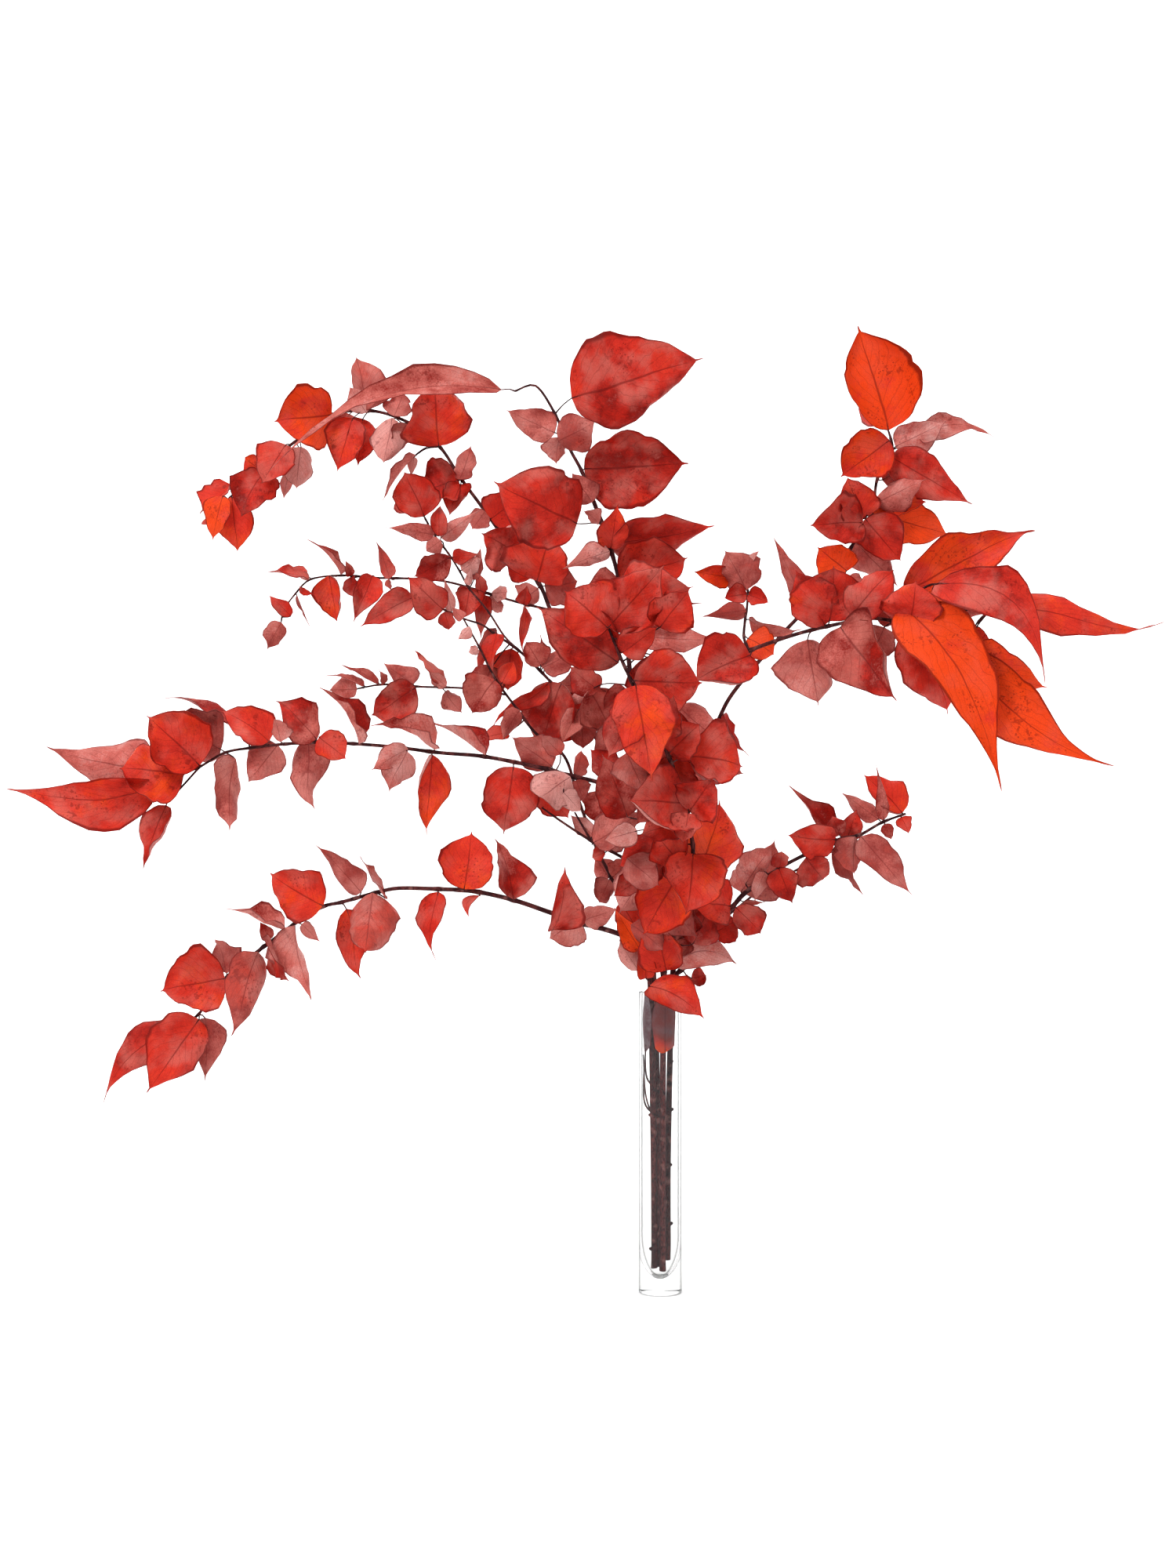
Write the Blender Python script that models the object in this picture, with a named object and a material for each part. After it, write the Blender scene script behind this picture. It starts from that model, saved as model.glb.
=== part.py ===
"""Preserved eucalyptus branches standing in a slim glass tube vase.

Metres, +Z up. The origin is the centre of the vase's flat underside, and the branches face -Y, the side that a
viewer sees, with the long low branch reaching to -X. The routes of the stems and the places of the leaves are read
by eye, as picture points (x to the right, y down), and placed in space by the function place(). Leaves that one
branch carries are fused to it, so each branch that was cut is one body, as it grew.
"""

import math
import random

import bmesh
import bpy
from mathutils import Vector
from mathutils.bvhtree import BVHTree

# Driving dimensions, in metres.
VASE_HEIGHT = 0.2496
VASE_RADIUS = 0.018
VASE_WALL = 0.0023
VASE_FLOOR = 0.0118
BOWL_HEIGHT = 0.035
VASE_SIDES = 32
BOWL_STEPS = 7
FOOT_CHAMFER = 0.0006
LEAF_THICKNESS = {"stem_left": 0.0006, "stem_upper_left": 0.0006, "stem_centre": 0.0007, "stem_right": 0.00105}
PETIOLE_RADIUS = 0.0006
SEAT_GAP = 0.0003
CLEARANCE = 0.0004

# The picture: the size of one picture point at the vase, the viewer's distance, and the points that the viewer
# looks at and that the vase stands on.
POINT_SIZE = 0.00065
VIEW_DISTANCE = 2.1
VIEW_CENTRE = (750.0, 1000.0)
VASE_FOOT = (842.0, 1648.0)

SEED = 4127
TURN_SPREAD = 18.0
TWIST_SPREAD = 26.0
BODY_SHARE = 0.94
BASE_POWER = 0.5
WIDTH_GAIN = 1.1
FULLNESS = {"stem_left": 1.05, "stem_upper_left": 1.06, "stem_centre": 1.22, "stem_right": 1.05}
LARGE_LEAF = 76
STEM_SIDES = 6
TWIG_SIDES = 4
THICK_STEM = 0.0016
DEPTH_SPREAD = 1.7
VASE_MOUTH_Y = 1230
REAR_STEP = 7
REAR_MIN_WIDTH = 46

# Routes of the stems, from the root end to the tip: picture x and y, depth behind the vase's axis in mm, and the
# stem's radius in mm.
LEFT_STEM = [
    (835, 0, -6, 2.8), (834, 1480, -6, 2.7), (830, 1264, -8, 2.6), (822, 1208, -10, 2.4), (789, 1191, -14, 2.2),
    (741, 1177, -18, 2.1), (705, 1165, -22, 2.0), (655, 1148, -27, 1.9), (605, 1137, -32, 1.8),
    (559, 1134, -36, 1.7), (507, 1133, -41, 1.6), (478, 1139, -43, 1.5), (435, 1151, -46, 1.4),
    (413, 1156, -48, 1.4), (377, 1177, -50, 1.3), (327, 1215, -53, 1.2), (289, 1246, -56, 1.1),
    (253, 1294, -58, 1.0), (236, 1306, -60, 0.8),
]
LEFT_MID_STEM = [
    (825, 1240, -9, 2.2), (820, 1180, -4, 2.1), (812, 1104, -6, 2.0), (799, 1013, -12, 1.9), (760, 997, -16, 1.8),
    (728, 990, -18, 1.8), (693, 980, -20, 1.7), (618, 965, -24, 1.6), (560, 960, -27, 1.5), (495, 952, -30, 1.4),
    (415, 947, -34, 1.3), (364, 949, -36, 1.2), (319, 954, -38, 1.1), (287, 960, -40, 1.0), (255, 978, -41, 0.9),
    (236, 986, -42, 0.8),
]
LEFT_MID_TIP = [(255, 978, -41, 0.9), (212, 1022, -44, 0.8), (191, 1016, -46, 0.7)]
BARE_STEM = [
    (812, 1104, -6, 1.5), (778, 1085, -14, 1.3), (753, 1072, -18, 1.2), (712, 1045, -22, 1.0),
    (691, 1030, -24, 0.7),
]
BARE_SIDE = [(753, 1071, -18, 1.0), (733, 1036, -21, 0.8)]
VASE_TWIG = [
    (833, 1424, -7, 0.9), (826, 1406, -5, 0.7), (823, 1389, -4, 0.7), (822, 1370, -3, 0.6), (821, 1345, -2, 0.5),
]
ARCH_STEM = [
    (840, 0, 6, 2.7), (839, 1480, 7, 2.6), (835, 1264, 8, 2.5), (822, 1150, 16, 2.2), (806, 1050, 24, 2.1),
    (790, 988, 30, 2.0), (767, 927, 35, 1.9), (749, 863, 40, 1.9), (724, 818, 46, 1.8), (702, 778, 52, 1.8),
    (689, 747, 56, 1.7), (658, 707, 62, 1.7), (618, 651, 70, 1.6), (587, 609, 76, 1.5), (561, 570, 82, 1.4),
    (525, 541, 86, 1.4), (474, 524, 90, 1.3), (419, 531, 96, 1.2), (374, 565, 100, 1.1), (330, 600, 104, 1.0),
    (293, 635, 108, 0.9), (272, 662, 110, 0.7),
]
ARCH_TWIG = [
    (702, 778, 52, 1.2), (660, 768, 50, 1.1), (623, 757, 48, 1.1), (570, 742, 45, 1.0), (523, 738, 42, 1.0),
    (478, 737, 40, 0.9), (437, 734, 38, 0.9), (396, 739, 36, 0.8), (377, 757, 35, 0.7), (362, 778, 34, 0.7),
    (359, 791, 34, 0.6),
]
MIDDLE_STEM = [
    (790, 988, 30, 1.5), (772, 960, 28, 1.4), (735, 907, 24, 1.3), (699, 866, 20, 1.2), (661, 829, 17, 1.1),
    (633, 810, 15, 1.0), (615, 797, 14, 0.9), (591, 789, 13, 0.9), (565, 777, 12, 0.7),
]
MIDDLE_SIDE = [
    (661, 829, 17, 1.0), (643, 811, 24, 0.9), (622, 779, 28, 0.9), (598, 750, 31, 0.9), (586, 728, 33, 0.8),
    (572, 706, 34, 0.8), (552, 679, 36, 0.7), (532, 641, 38, 0.6),
]
THIN_STEM = [
    (832, 1240, 10, 1.7), (802, 1169, 16, 1.6), (779, 1118, 19, 1.5), (760, 1080, 20, 1.5), (738, 1020, 12, 1.4),
    (720, 965, 4, 1.3), (683, 935, 0, 1.2), (660, 905, -2, 1.1), (632, 866, -4, 1.0), (611, 825, -5, 0.9),
    (591, 789, -6, 0.6),
]
THIN_SIDE = [
    (645, 886, -3, 1.0), (593, 878, -6, 0.9), (538, 876, -9, 0.9), (489, 873, -11, 0.8), (449, 880, -12, 0.6),
]
CENTRE_STEM = [
    (845, 0, -6, 2.8), (845, 1480, -7, 2.7), (846, 1264, -8, 2.6), (846, 1215, -5, 2.4), (833, 1100, -1, 2.2),
    (819, 985, 4, 2.1), (805, 868, 9, 2.0), (790, 744, 14, 1.9), (775, 688, 17, 1.8), (760, 647, 19, 1.7),
    (742, 601, 21, 1.5), (727, 573, 22, 1.4), (708, 528, 24, 1.2), (683, 492, 26, 1.0), (657, 499, 27, 0.8),
]
FRONT_STEM = [
    (847, 1240, -7, 1.9), (862, 1180, -22, 1.8), (880, 1120, -38, 1.7), (884, 1083, -46, 1.7),
    (879, 1054, -52, 1.6), (870, 1016, -57, 1.6), (853, 965, -62, 1.5), (831, 920, -65, 1.4), (805, 868, -68, 1.3),
    (790, 835, -70, 1.1), (774, 795, -72, 0.9),
]
RIGHT_STEM = [
    (852, 0, 6, 2.8), (852, 1480, 6, 2.7), (857, 1264, 6, 2.6), (862, 1180, 12, 2.3), (858, 1060, 20, 2.2),
    (853, 960, 24, 2.1), (860, 892, 18, 2.0), (882, 872, 8, 1.9), (920, 848, -4, 1.8), (958, 829, -15, 1.7),
    (1012, 810, -28, 1.6), (1055, 799, -38, 1.5), (1109, 789, -50, 1.4), (1144, 794, -56, 1.3),
    (1156, 809, -58, 1.2), (1200, 806, -64, 1.0), (1238, 832, -70, 0.8),
]
RIGHT_SPRAY = [(1144, 794, -56, 1.1), (1158, 768, -58, 1.0), (1195, 745, -62, 0.9), (1262, 779, -66, 0.6)]
UPPER_RIGHT_STEM = [
    (862, 1180, 12, 2.1), (882, 1060, 30, 2.0), (905, 960, 42, 1.9), (927, 896, 50, 1.8), (977, 833, 58, 1.8),
    (1003, 803, 62, 1.7), (1024, 781, 66, 1.7), (1060, 740, 70, 1.6), (1085, 699, 74, 1.5), (1112, 654, 78, 1.4),
    (1119, 611, 80, 1.3), (1138, 574, 82, 1.2), (1133, 549, 83, 0.9),
]
RIGHT_SHOOT_STEM = [
    (955, 830, -14, 1.3), (949, 814, -6, 1.2), (950, 794, 4, 1.1), (953, 773, 12, 1.0), (954, 753, 18, 0.8),
]
RIGHT_LOW_STEM = [
    (860, 1245, 6, 2.0), (884, 1222, 2, 1.9), (910, 1186, -3, 1.8), (935, 1156, -8, 1.8), (949, 1140, -10, 1.7),
    (992, 1109, -12, 1.6), (1023, 1092, -12, 1.5), (1070, 1071, -10, 1.3), (1096, 1065, -8, 1.2),
    (1125, 1049, -4, 1.1), (1155, 1038, 0, 0.8),
]
RIGHT_LOW_TWIN = [
    (916, 1179, -4, 1.1), (938, 1160, 6, 1.0), (972, 1134, 10, 1.0), (1021, 1107, 10, 1.0), (1080, 1076, 4, 0.9),
    (1125, 1049, -4, 0.9),
]

# Leaves of each stem: picture x and y of the blade's base and of its tip, the width in points as it shows, the turn
# about its length from facing the viewer in degrees, its tone from pale back (0) to lit orange (5), and then, where
# they matter, its twist in degrees, its sideways sweep over its length, and how far out it is held in mm.
LEFT_MID = [
    (236, 987, 152, 980, 88, 0, 4), (192, 985, 68, 957, 66, 180, 1, 20),
    (200, 1000, 18, 1007, 58, -20, 4, 40, -0.06), (255, 977, 190, 915, 72, 0, 4), (284, 957, 212, 924, 84, 165, 2),
    (300, 925, 216, 884, 20, 60, 2), (343, 946, 284, 908, 40, 30, 3), (300, 968, 293, 1056, 44, 150, 1, 40),
    (354, 950, 318, 996, 44, 170, 1), (358, 946, 350, 918, 24, 160, 1), (404, 943, 357, 892, 42, 20, 2, 40),
    (407, 940, 440, 967, 36, 0, 4), (392, 942, 398, 1030, 42, 150, 2, -50), (458, 948, 411, 880, 20, 65, 2),
    (212, 1027, 183, 1104, 42, 20, 3), (555, 955, 481, 921, 24, 60, 1), (520, 955, 475, 982, 26, 170, 1, 40),
    (519, 958, 497, 1008, 34, 170, 1, -40), (551, 962, 543, 1060, 46, 0, 5, 60), (620, 963, 554, 919, 18, 68, 2),
    (655, 978, 643, 1060, 66, 10, 3), (705, 978, 655, 942, 40, 170, 2), (727, 991, 688, 1018, 54, 180, 0),
    (692, 1002, 724, 1043, 38, 0, 4), (719, 1011, 740, 1034, 24, 180, 0), (733, 990, 742, 958, 22, 150, 2),
    (735, 995, 744, 1021, 28, 160, 2), (715, 962, 692, 938, 22, 160, 2), (772, 1010, 764, 1050, 40, 0, 2),
]
LEFT_LOW = [
    (740, 1173, 703, 1196, 56, 170, 1), (705, 1186, 720, 1110, 38, 20, 3), (745, 1174, 785, 1160, 28, 180, 1),
    (655, 1147, 632, 1074, 34, 40, 2), (592, 1134, 601, 1064, 62, 0, 5), (612, 1142, 600, 1171, 14, 30, 3, 0, 0.3),
    (559, 1137, 551, 1220, 26, 30, 4, 50), (492, 1146, 460, 1094, 12, 70, 2), (461, 1138, 406, 1081, 38, 150, 2),
    (475, 1140, 466, 1213, 62, 165, 3), (442, 1160, 458, 1245, 40, 0, 4, 30), (413, 1156, 346, 1116, 60, 0, 4),
    (380, 1173, 365, 1150, 16, 160, 1), (385, 1179, 407, 1200, 16, 160, 1), (363, 1184, 294, 1156, 18, 65, 1),
    (376, 1181, 396, 1271, 34, 155, 1, 50), (345, 1202, 366, 1250, 24, 60, 2), (344, 1199, 332, 1177, 14, 40, 2),
    (329, 1214, 298, 1318, 48, 160, 2, 40), (289, 1241, 276, 1198, 30, 150, 2), (288, 1248, 204, 1264, 76, 0, 4),
    (254, 1300, 190, 1390, 66, 0, 4), (236, 1306, 134, 1400, 50, 10, 3, 20, 0.12),
    (262, 1299, 262, 1374, 42, 170, 2),
]
BARE_TWIG = [
    (757, 1075, 817, 1036, 44, 160, 1, 0, 0, 16), (757, 1066, 728, 1040, 22, 180, 0),
    (775, 1086, 756, 1094, 18, 0, 3), (800, 1097, 828, 1072, 34, 0, 4),
]
THIN_LEFT = [
    (777, 1120, 760, 1096, 30, 170, 1), (777, 1122, 765, 1150, 30, 165, 2), (780, 1120, 803, 1100, 30, 0, 2),
    (632, 866, 604, 908, 50, 0, 2), (663, 905, 640, 942, 22, 150, 1), (648, 934, 610, 944, 22, 20, 4),
    (600, 800, 585, 815, 14, 180, 0), (611, 826, 598, 832, 12, 180, 0), (591, 790, 578, 776, 14, 170, 1),
    (640, 872, 655, 845, 24, 0, 4),
]
THIN_LEFT_TWIG = [
    (465, 875, 418, 861, 10, 50, 2), (455, 879, 422, 880, 26, 170, 1), (484, 872, 437, 850, 12, 50, 2),
    (490, 874, 484, 855, 8, 40, 2), (530, 875, 492, 848, 32, 160, 2), (531, 877, 476, 911, 46, 0, 2),
    (568, 874, 530, 830, 12, 60, 2), (570, 876, 549, 858, 16, 170, 1), (565, 878, 588, 908, 26, 160, 2, 30),
]
UPPER_LEFT = [
    (270, 664, 257, 668, 10, 40, 2), (284, 633, 271, 686, 34, 0, 5), (296, 634, 303, 700, 52, 0, 5),
    (298, 620, 258, 655, 24, 50, 4), (335, 600, 313, 584, 32, 0, 4), (338, 602, 309, 656, 54, 0, 3),
    (365, 567, 335, 615, 48, -10, 4), (384, 570, 378, 621, 44, 180, 0), (368, 602, 362, 635, 16, 180, 0),
    (423, 529, 350, 537, 84, 0, 5), (467, 523, 455, 459, 50, 160, 2, 50), (467, 526, 447, 495, 28, 170, 0),
    (500, 534, 490, 587, 44, 175, 0), (503, 531, 514, 502, 36, 160, 2), (520, 541, 506, 575, 30, 160, 2),
    (450, 534, 431, 597, 48, 0, 4), (463, 534, 457, 590, 40, 0, 4), (446, 528, 428, 568, 40, 20, 2),
    (560, 570, 553, 485, 86, 0, 4), (530, 580, 490, 635, 16, 62, 2), (528, 583, 524, 606, 12, 180, 0),
    (586, 612, 600, 571, 34, 150, 2), (584, 613, 543, 628, 60, 0, 3), (588, 618, 574, 653, 36, 0, 3),
    (619, 652, 603, 674, 26, 180, 1), (660, 706, 618, 682, 62, 0, 3), (626, 662, 662, 634, 46, 0, 4),
    (685, 741, 702, 682, 84, 0, 4), (678, 737, 652, 712, 46, 0, 4), (688, 749, 665, 768, 34, 180, 1),
    (691, 748, 735, 742, 54, 165, 2), (752, 872, 708, 876, 36, 160, 2), (786, 998, 768, 962, 22, 20, 3),
]
UPPER_LEFT_TWIG = [
    (359, 793, 340, 827, 22, 160, 2), (371, 786, 345, 761, 20, 20, 3), (396, 739, 343, 730, 14, 50, 3),
    (396, 737, 366, 727, 9, 170, 1), (381, 751, 401, 757, 8, 40, 3), (378, 758, 393, 796, 5, 70, 1),
    (436, 734, 395, 689, 10, 62, 3), (420, 735, 430, 789, 38, 15, 4, 30), (447, 735, 441, 716, 10, 40, 2),
    (447, 736, 452, 762, 16, 40, 2), (475, 734, 452, 790, 34, 0, 3), (478, 739, 478, 762, 14, 175, 1),
    (497, 738, 481, 692, 18, 155, 2), (496, 739, 499, 753, 6, 150, 2), (599, 751, 592, 786, 36, 0, 3),
    (614, 757, 609, 730, 16, 0, 3), (614, 758, 613, 812, 22, 0, 3, 30), (624, 757, 647, 755, 20, 180, 0),
    (625, 759, 640, 781, 18, 180, 0), (669, 771, 672, 748, 18, 0, 3), (669, 773, 666, 829, 20, 0, 4, 60),
]
MIDDLE_TWIG = [
    (528, 762, 463, 797, 38, 0, 3), (566, 778, 523, 738, 46, 0, 3), (567, 780, 573, 803, 20, 0, 3),
    (576, 781, 567, 738, 14, 180, 0), (632, 801, 608, 862, 18, 150, 2, 20), (634, 808, 627, 862, 22, 20, 3),
    (652, 828, 648, 878, 44, 0, 4), (662, 830, 620, 905, 20, 150, 2, 90), (700, 870, 628, 928, 20, 0, 4, 100),
    (694, 853, 689, 811, 18, 155, 2), (692, 852, 731, 833, 36, 165, 2), (690, 849, 672, 820, 34, 20, 2),
    (716, 872, 690, 953, 62, 0, 2), (728, 884, 776, 904, 46, 0, 3, 0, 0, -10), (628, 850, 600, 900, 40, 0, 2),
    (736, 909, 716, 946, 34, 0, 3), (741, 910, 744, 953, 40, 165, 2), (742, 906, 783, 900, 36, 0, 3),
    (728, 895, 758, 880, 14, 180, 0),
]
MIDDLE_SIDE_TWIG = [
    (541, 658, 517, 605, 54, 0, 3), (554, 682, 495, 673, 20, 150, 1), (560, 684, 561, 645, 22, 0, 3),
    (562, 686, 612, 650, 22, 180, 0), (562, 689, 544, 703, 20, 160, 1), (574, 711, 530, 735, 34, 0, 2),
    (577, 711, 609, 707, 18, 0, 3), (588, 728, 612, 713, 22, 180, 0), (604, 740, 613, 697, 16, 160, 2),
    (598, 748, 601, 726, 10, 180, 0),
]
CENTRE_BACK = [
    (841, 1340, 840, 1270, 30, 0, 1, 0, 0, 3), (852, 1332, 853, 1270, 24, 0, 1),
    (640, 497, 396, 586, 28, 50, 1, 40, 0.095), (729, 508, 898, 457, 108, 0, 3), (743, 598, 879, 591, 104, 0, 3),
    (780, 693, 890, 676, 54, 20, 3), (708, 552, 656, 527, 34, 165, 1), (714, 558, 710, 586, 24, 165, 1),
    (713, 563, 750, 542, 40, 160, 2), (736, 668, 632, 617, 100, -15, 3), (755, 640, 734, 610, 28, 160, 2),
    (764, 668, 748, 655, 14, 150, 2), (779, 700, 786, 655, 32, 0, 5), (777, 703, 728, 722, 24, 170, 1),
    (790, 738, 878, 712, 84, 0, 4), (790, 768, 868, 752, 66, 0, 3), (789, 750, 758, 745, 38, 0, 2),
    (797, 765, 868, 778, 50, 0, 2), (800, 758, 880, 768, 9, 60, 2), (812, 812, 906, 815, 30, 175, 1),
    (848, 1092, 800, 1152, 56, 180, 1, 0, 0, 30), (846, 1096, 797, 1075, 34, 0, 3),
    (850, 1238, 834, 1176, 46, 0, 4, 0, 0, 12), (858, 1222, 856, 1186, 40, 0, 2), (752, 880, 776, 924, 46, 0, 2),
    (828, 1258, 886, 1292, 42, 0, 4, 0, -0.08, 14),
]
CENTRE_FRONT = [
    (775, 801, 730, 762, 64, 0, 4), (776, 800, 834, 735, 56, 0, 3), (788, 845, 702, 786, 62, 15, 3),
    (792, 833, 830, 806, 34, 0, 4), (807, 868, 880, 870, 64, 0, 3), (811, 874, 832, 996, 76, 0, 5),
    (848, 940, 858, 896, 32, 0, 3), (853, 965, 862, 1011, 54, 0, 3), (853, 961, 886, 930, 42, 0, 3),
    (873, 1024, 800, 1022, 84, 0, 3), (866, 1052, 826, 1062, 40, 0, 3), (878, 1037, 872, 1068, 28, 0, 3),
    (880, 1036, 904, 1000, 46, 0, 3), (846, 900, 872, 994, 58, 0, 3), (880, 965, 936, 975, 62, 0, 3),
    (868, 1100, 842, 1070, 42, 0, 3), (862, 1200, 850, 1150, 50, 0, 2), (884, 1204, 902, 1160, 42, 0, 2),
    (800, 1042, 774, 976, 44, 0, 2, 0, 0, -30), (846, 1080, 800, 1100, 46, 0, 3, 0, 0, -14),
    (812, 905, 782, 955, 44, 0, 3), (830, 835, 852, 895, 56, 0, 3, 0, 0, -12), (842, 800, 872, 762, 46, 0, 3),
    (884, 1090, 876, 1153, 64, 0, 4), (864, 1118, 828, 1180, 58, 0, 5), (892, 1112, 915, 1037, 60, 0, 5),
]
RIGHT = [
    (957, 836, 886, 867, 78, 0, 3), (1030, 816, 1044, 900, 76, 175, 1), (1072, 800, 1143, 894, 82, 0, 2),
    (1058, 792, 1064, 722, 84, 0, 3), (1052, 798, 1016, 730, 56, 0, 3), (1086, 786, 1138, 728, 56, 0, 3),
    (1128, 800, 1110, 840, 40, 180, 1), (1138, 797, 1115, 753, 26, 170, 1), (1160, 796, 1168, 745, 66, 0, 4),
    (1153, 756, 1317, 674, 70, 0, 4), (1192, 746, 1323, 866, 58, 20, 3, 0, -0.26), (1198, 752, 1268, 772, 34, 0, 4),
    (1186, 776, 1274, 779, 24, 170, 1), (1262, 779, 1474, 803, 48, 0, 4, 150),
    (1154, 776, 1276, 1012, 82, 0, 5, 0, -0.05), (866, 901, 929, 957, 42, 180, 1),
    (892, 1000, 888, 1024, 18, 180, 0),
]
RIGHT_TIP = [
    (1156, 806, 1214, 912, 78, 0, 3), (1204, 812, 1266, 822, 36, 0, 4), (1238, 832, 1333, 875, 54, 0, 5, 0, 0.06),
    (1232, 844, 1413, 971, 66, 10, 5, 0, 0.1),
]
UPPER_RIGHT = [
    (1133, 548, 1093, 416, 104, 0, 5), (1142, 570, 1204, 540, 44, 170, 1),
    (1172, 560, 1266, 557, 34, 170, 1, 0, -0.2), (1136, 582, 1236, 641, 60, 0, 3, 20),
    (1126, 612, 1180, 582, 44, 170, 1), (1118, 642, 1178, 612, 40, 165, 1), (1134, 562, 1075, 606, 66, 0, 4),
    (1119, 606, 1131, 572, 22, 160, 1), (1100, 667, 1036, 670, 66, 0, 3), (1100, 662, 1082, 612, 50, 0, 4),
    (1112, 655, 1208, 681, 64, 10, 5), (1117, 652, 1180, 640, 40, 0, 4), (1104, 662, 1147, 713, 58, 0, 3),
    (1026, 770, 987, 686, 22, 155, 2, 30), (1080, 728, 1045, 700, 60, 0, 5), (1082, 735, 1106, 757, 22, 160, 3),
    (1092, 692, 1143, 745, 46, 170, 2), (922, 911, 950, 964, 12, 60, 2), (880, 965, 944, 986, 56, 0, 2),
]
RIGHT_SHOOT = [
    (952, 752, 927, 704, 44, 165, 2), (930, 736, 887, 730, 30, 0, 5), (954, 716, 968, 703, 9, 170, 0),
    (953, 758, 925, 762, 24, 0, 3), (954, 758, 979, 768, 22, 0, 3), (953, 778, 898, 786, 22, 160, 2),
    (955, 790, 1020, 803, 13, 60, 1), (950, 812, 986, 834, 42, 0, 5), (948, 826, 907, 812, 16, 170, 1),
]
RIGHT_LOW = [
    (945, 1138, 988, 1077, 54, 165, 1), (975, 1112, 962, 1149, 20, 175, 1), (993, 1107, 1010, 1150, 34, 0, 3),
    (994, 1108, 997, 1086, 22, 0, 2), (947, 1150, 975, 1152, 6, 60, 2), (1066, 1071, 1008, 1066, 48, 0, 3),
    (1064, 1068, 1008, 1005, 26, 30, 2), (1072, 1068, 1062, 1042, 26, 0, 2), (1080, 1070, 1092, 1035, 30, 0, 3),
    (1026, 1091, 1050, 1122, 44, 0, 2), (1066, 1077, 1100, 1139, 30, 160, 2), (1090, 1067, 1088, 1113, 36, 165, 2),
    (1097, 1066, 1162, 1141, 42, 165, 2), (1122, 1046, 1075, 1012, 24, 165, 1), (1127, 1048, 1117, 977, 16, 30, 2),
    (1128, 1050, 1137, 1070, 14, 30, 2), (1152, 1038, 1104, 990, 46, 0, 4), (1149, 1041, 1159, 1062, 18, 0, 3),
    (938, 1157, 970, 1190, 36, 0, 3), (932, 1156, 884, 1152, 52, 0, 4), (908, 1192, 938, 1174, 38, 0, 3),
    (912, 1176, 880, 1166, 10, 60, 0), (862, 1228, 936, 1230, 44, 165, 1, 0, -0.2, 10),
    (882, 1248, 900, 1244, 22, 0, 2),
]
VASE_MOUTH = [
    (817, 1212, 785, 1160, 28, 0, 5), (815, 1238, 790, 1198, 22, 180, 0), (824, 1248, 818, 1206, 24, 0, 4),
    (829, 1268, 825, 1335, 15, 180, 1),
]

# Each branch that was cut: its stems, the root stem first, each with its leaves.
BRANCHES = {
    "stem_left": [
        (LEFT_STEM, LEFT_LOW + VASE_MOUTH), (LEFT_MID_STEM, LEFT_MID), (LEFT_MID_TIP, []),
        (BARE_STEM, BARE_TWIG), (BARE_SIDE, []), (VASE_TWIG, []),
    ],
    "stem_upper_left": [
        (ARCH_STEM, UPPER_LEFT), (ARCH_TWIG, UPPER_LEFT_TWIG), (MIDDLE_STEM, MIDDLE_TWIG),
        (MIDDLE_SIDE, MIDDLE_SIDE_TWIG), (THIN_STEM, THIN_LEFT), (THIN_SIDE, THIN_LEFT_TWIG),
    ],
    "stem_centre": [(CENTRE_STEM, CENTRE_BACK), (FRONT_STEM, CENTRE_FRONT)],
    "stem_right": [
        (RIGHT_STEM, RIGHT), (RIGHT_SPRAY, RIGHT_TIP), (UPPER_RIGHT_STEM, UPPER_RIGHT),
        (RIGHT_SHOOT_STEM, RIGHT_SHOOT), (RIGHT_LOW_STEM, RIGHT_LOW), (RIGHT_LOW_TWIN, []),
    ],
}


def clear_scene():
    for item in list(bpy.data.objects):
        bpy.data.objects.remove(item, do_unlink=True)


def make_material(name, colour, roughness, metallic=0.0, transmission=0.0):
    material = bpy.data.materials.new(name)
    material.use_nodes = True
    shader = material.node_tree.nodes["Principled BSDF"]
    shader.inputs["Base Color"].default_value = (*colour, 1.0)
    shader.inputs["Roughness"].default_value = roughness
    shader.inputs["Metallic"].default_value = metallic
    shader.inputs["Transmission Weight"].default_value = transmission
    return material


def mesh_object(name, points, faces):
    mesh = bpy.data.meshes.new(name)
    mesh.from_pydata(points, [], faces)
    item = bpy.data.objects.new(name, mesh)
    bpy.context.scene.collection.objects.link(item)
    return item


def place(x, y, depth):
    """Put a picture point at a depth, in metres, behind the vase's axis."""
    size = POINT_SIZE * (VIEW_DISTANCE + depth) / VIEW_DISTANCE
    return Vector((
        (x - VIEW_CENTRE[0]) * size + (VIEW_CENTRE[0] - VASE_FOOT[0]) * POINT_SIZE,
        depth,
        (VIEW_CENTRE[1] - y) * size + (VASE_FOOT[1] - VIEW_CENTRE[1]) * POINT_SIZE,
    ))


def bowl_floor(radius):
    """Height of the glass floor at a distance from the axis."""
    share = min(radius / (VASE_RADIUS - VASE_WALL), 1.0)
    return VASE_FLOOR + BOWL_HEIGHT * (1.0 - math.sqrt(1.0 - share * share))


def bowl_outline():
    """The rings of the glass floor, from the wall to the axis, as distance from the axis and height."""
    inner = VASE_RADIUS - VASE_WALL
    radii = [inner * math.cos(math.pi / 2.0 * step / BOWL_STEPS) for step in range(BOWL_STEPS)] + [0.0]
    return [(radius, bowl_floor(radius)) for radius in radii]


def glass_floor(reach):
    """Height of the faceted floor at a distance from the axis."""
    rings = bowl_outline()
    for (outer, high), (inner, low) in zip(rings, rings[1:]):
        if inner <= reach <= outer:
            return low + (high - low) * (reach - inner) / (outer - inner)
    return rings[0][1]


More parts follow.
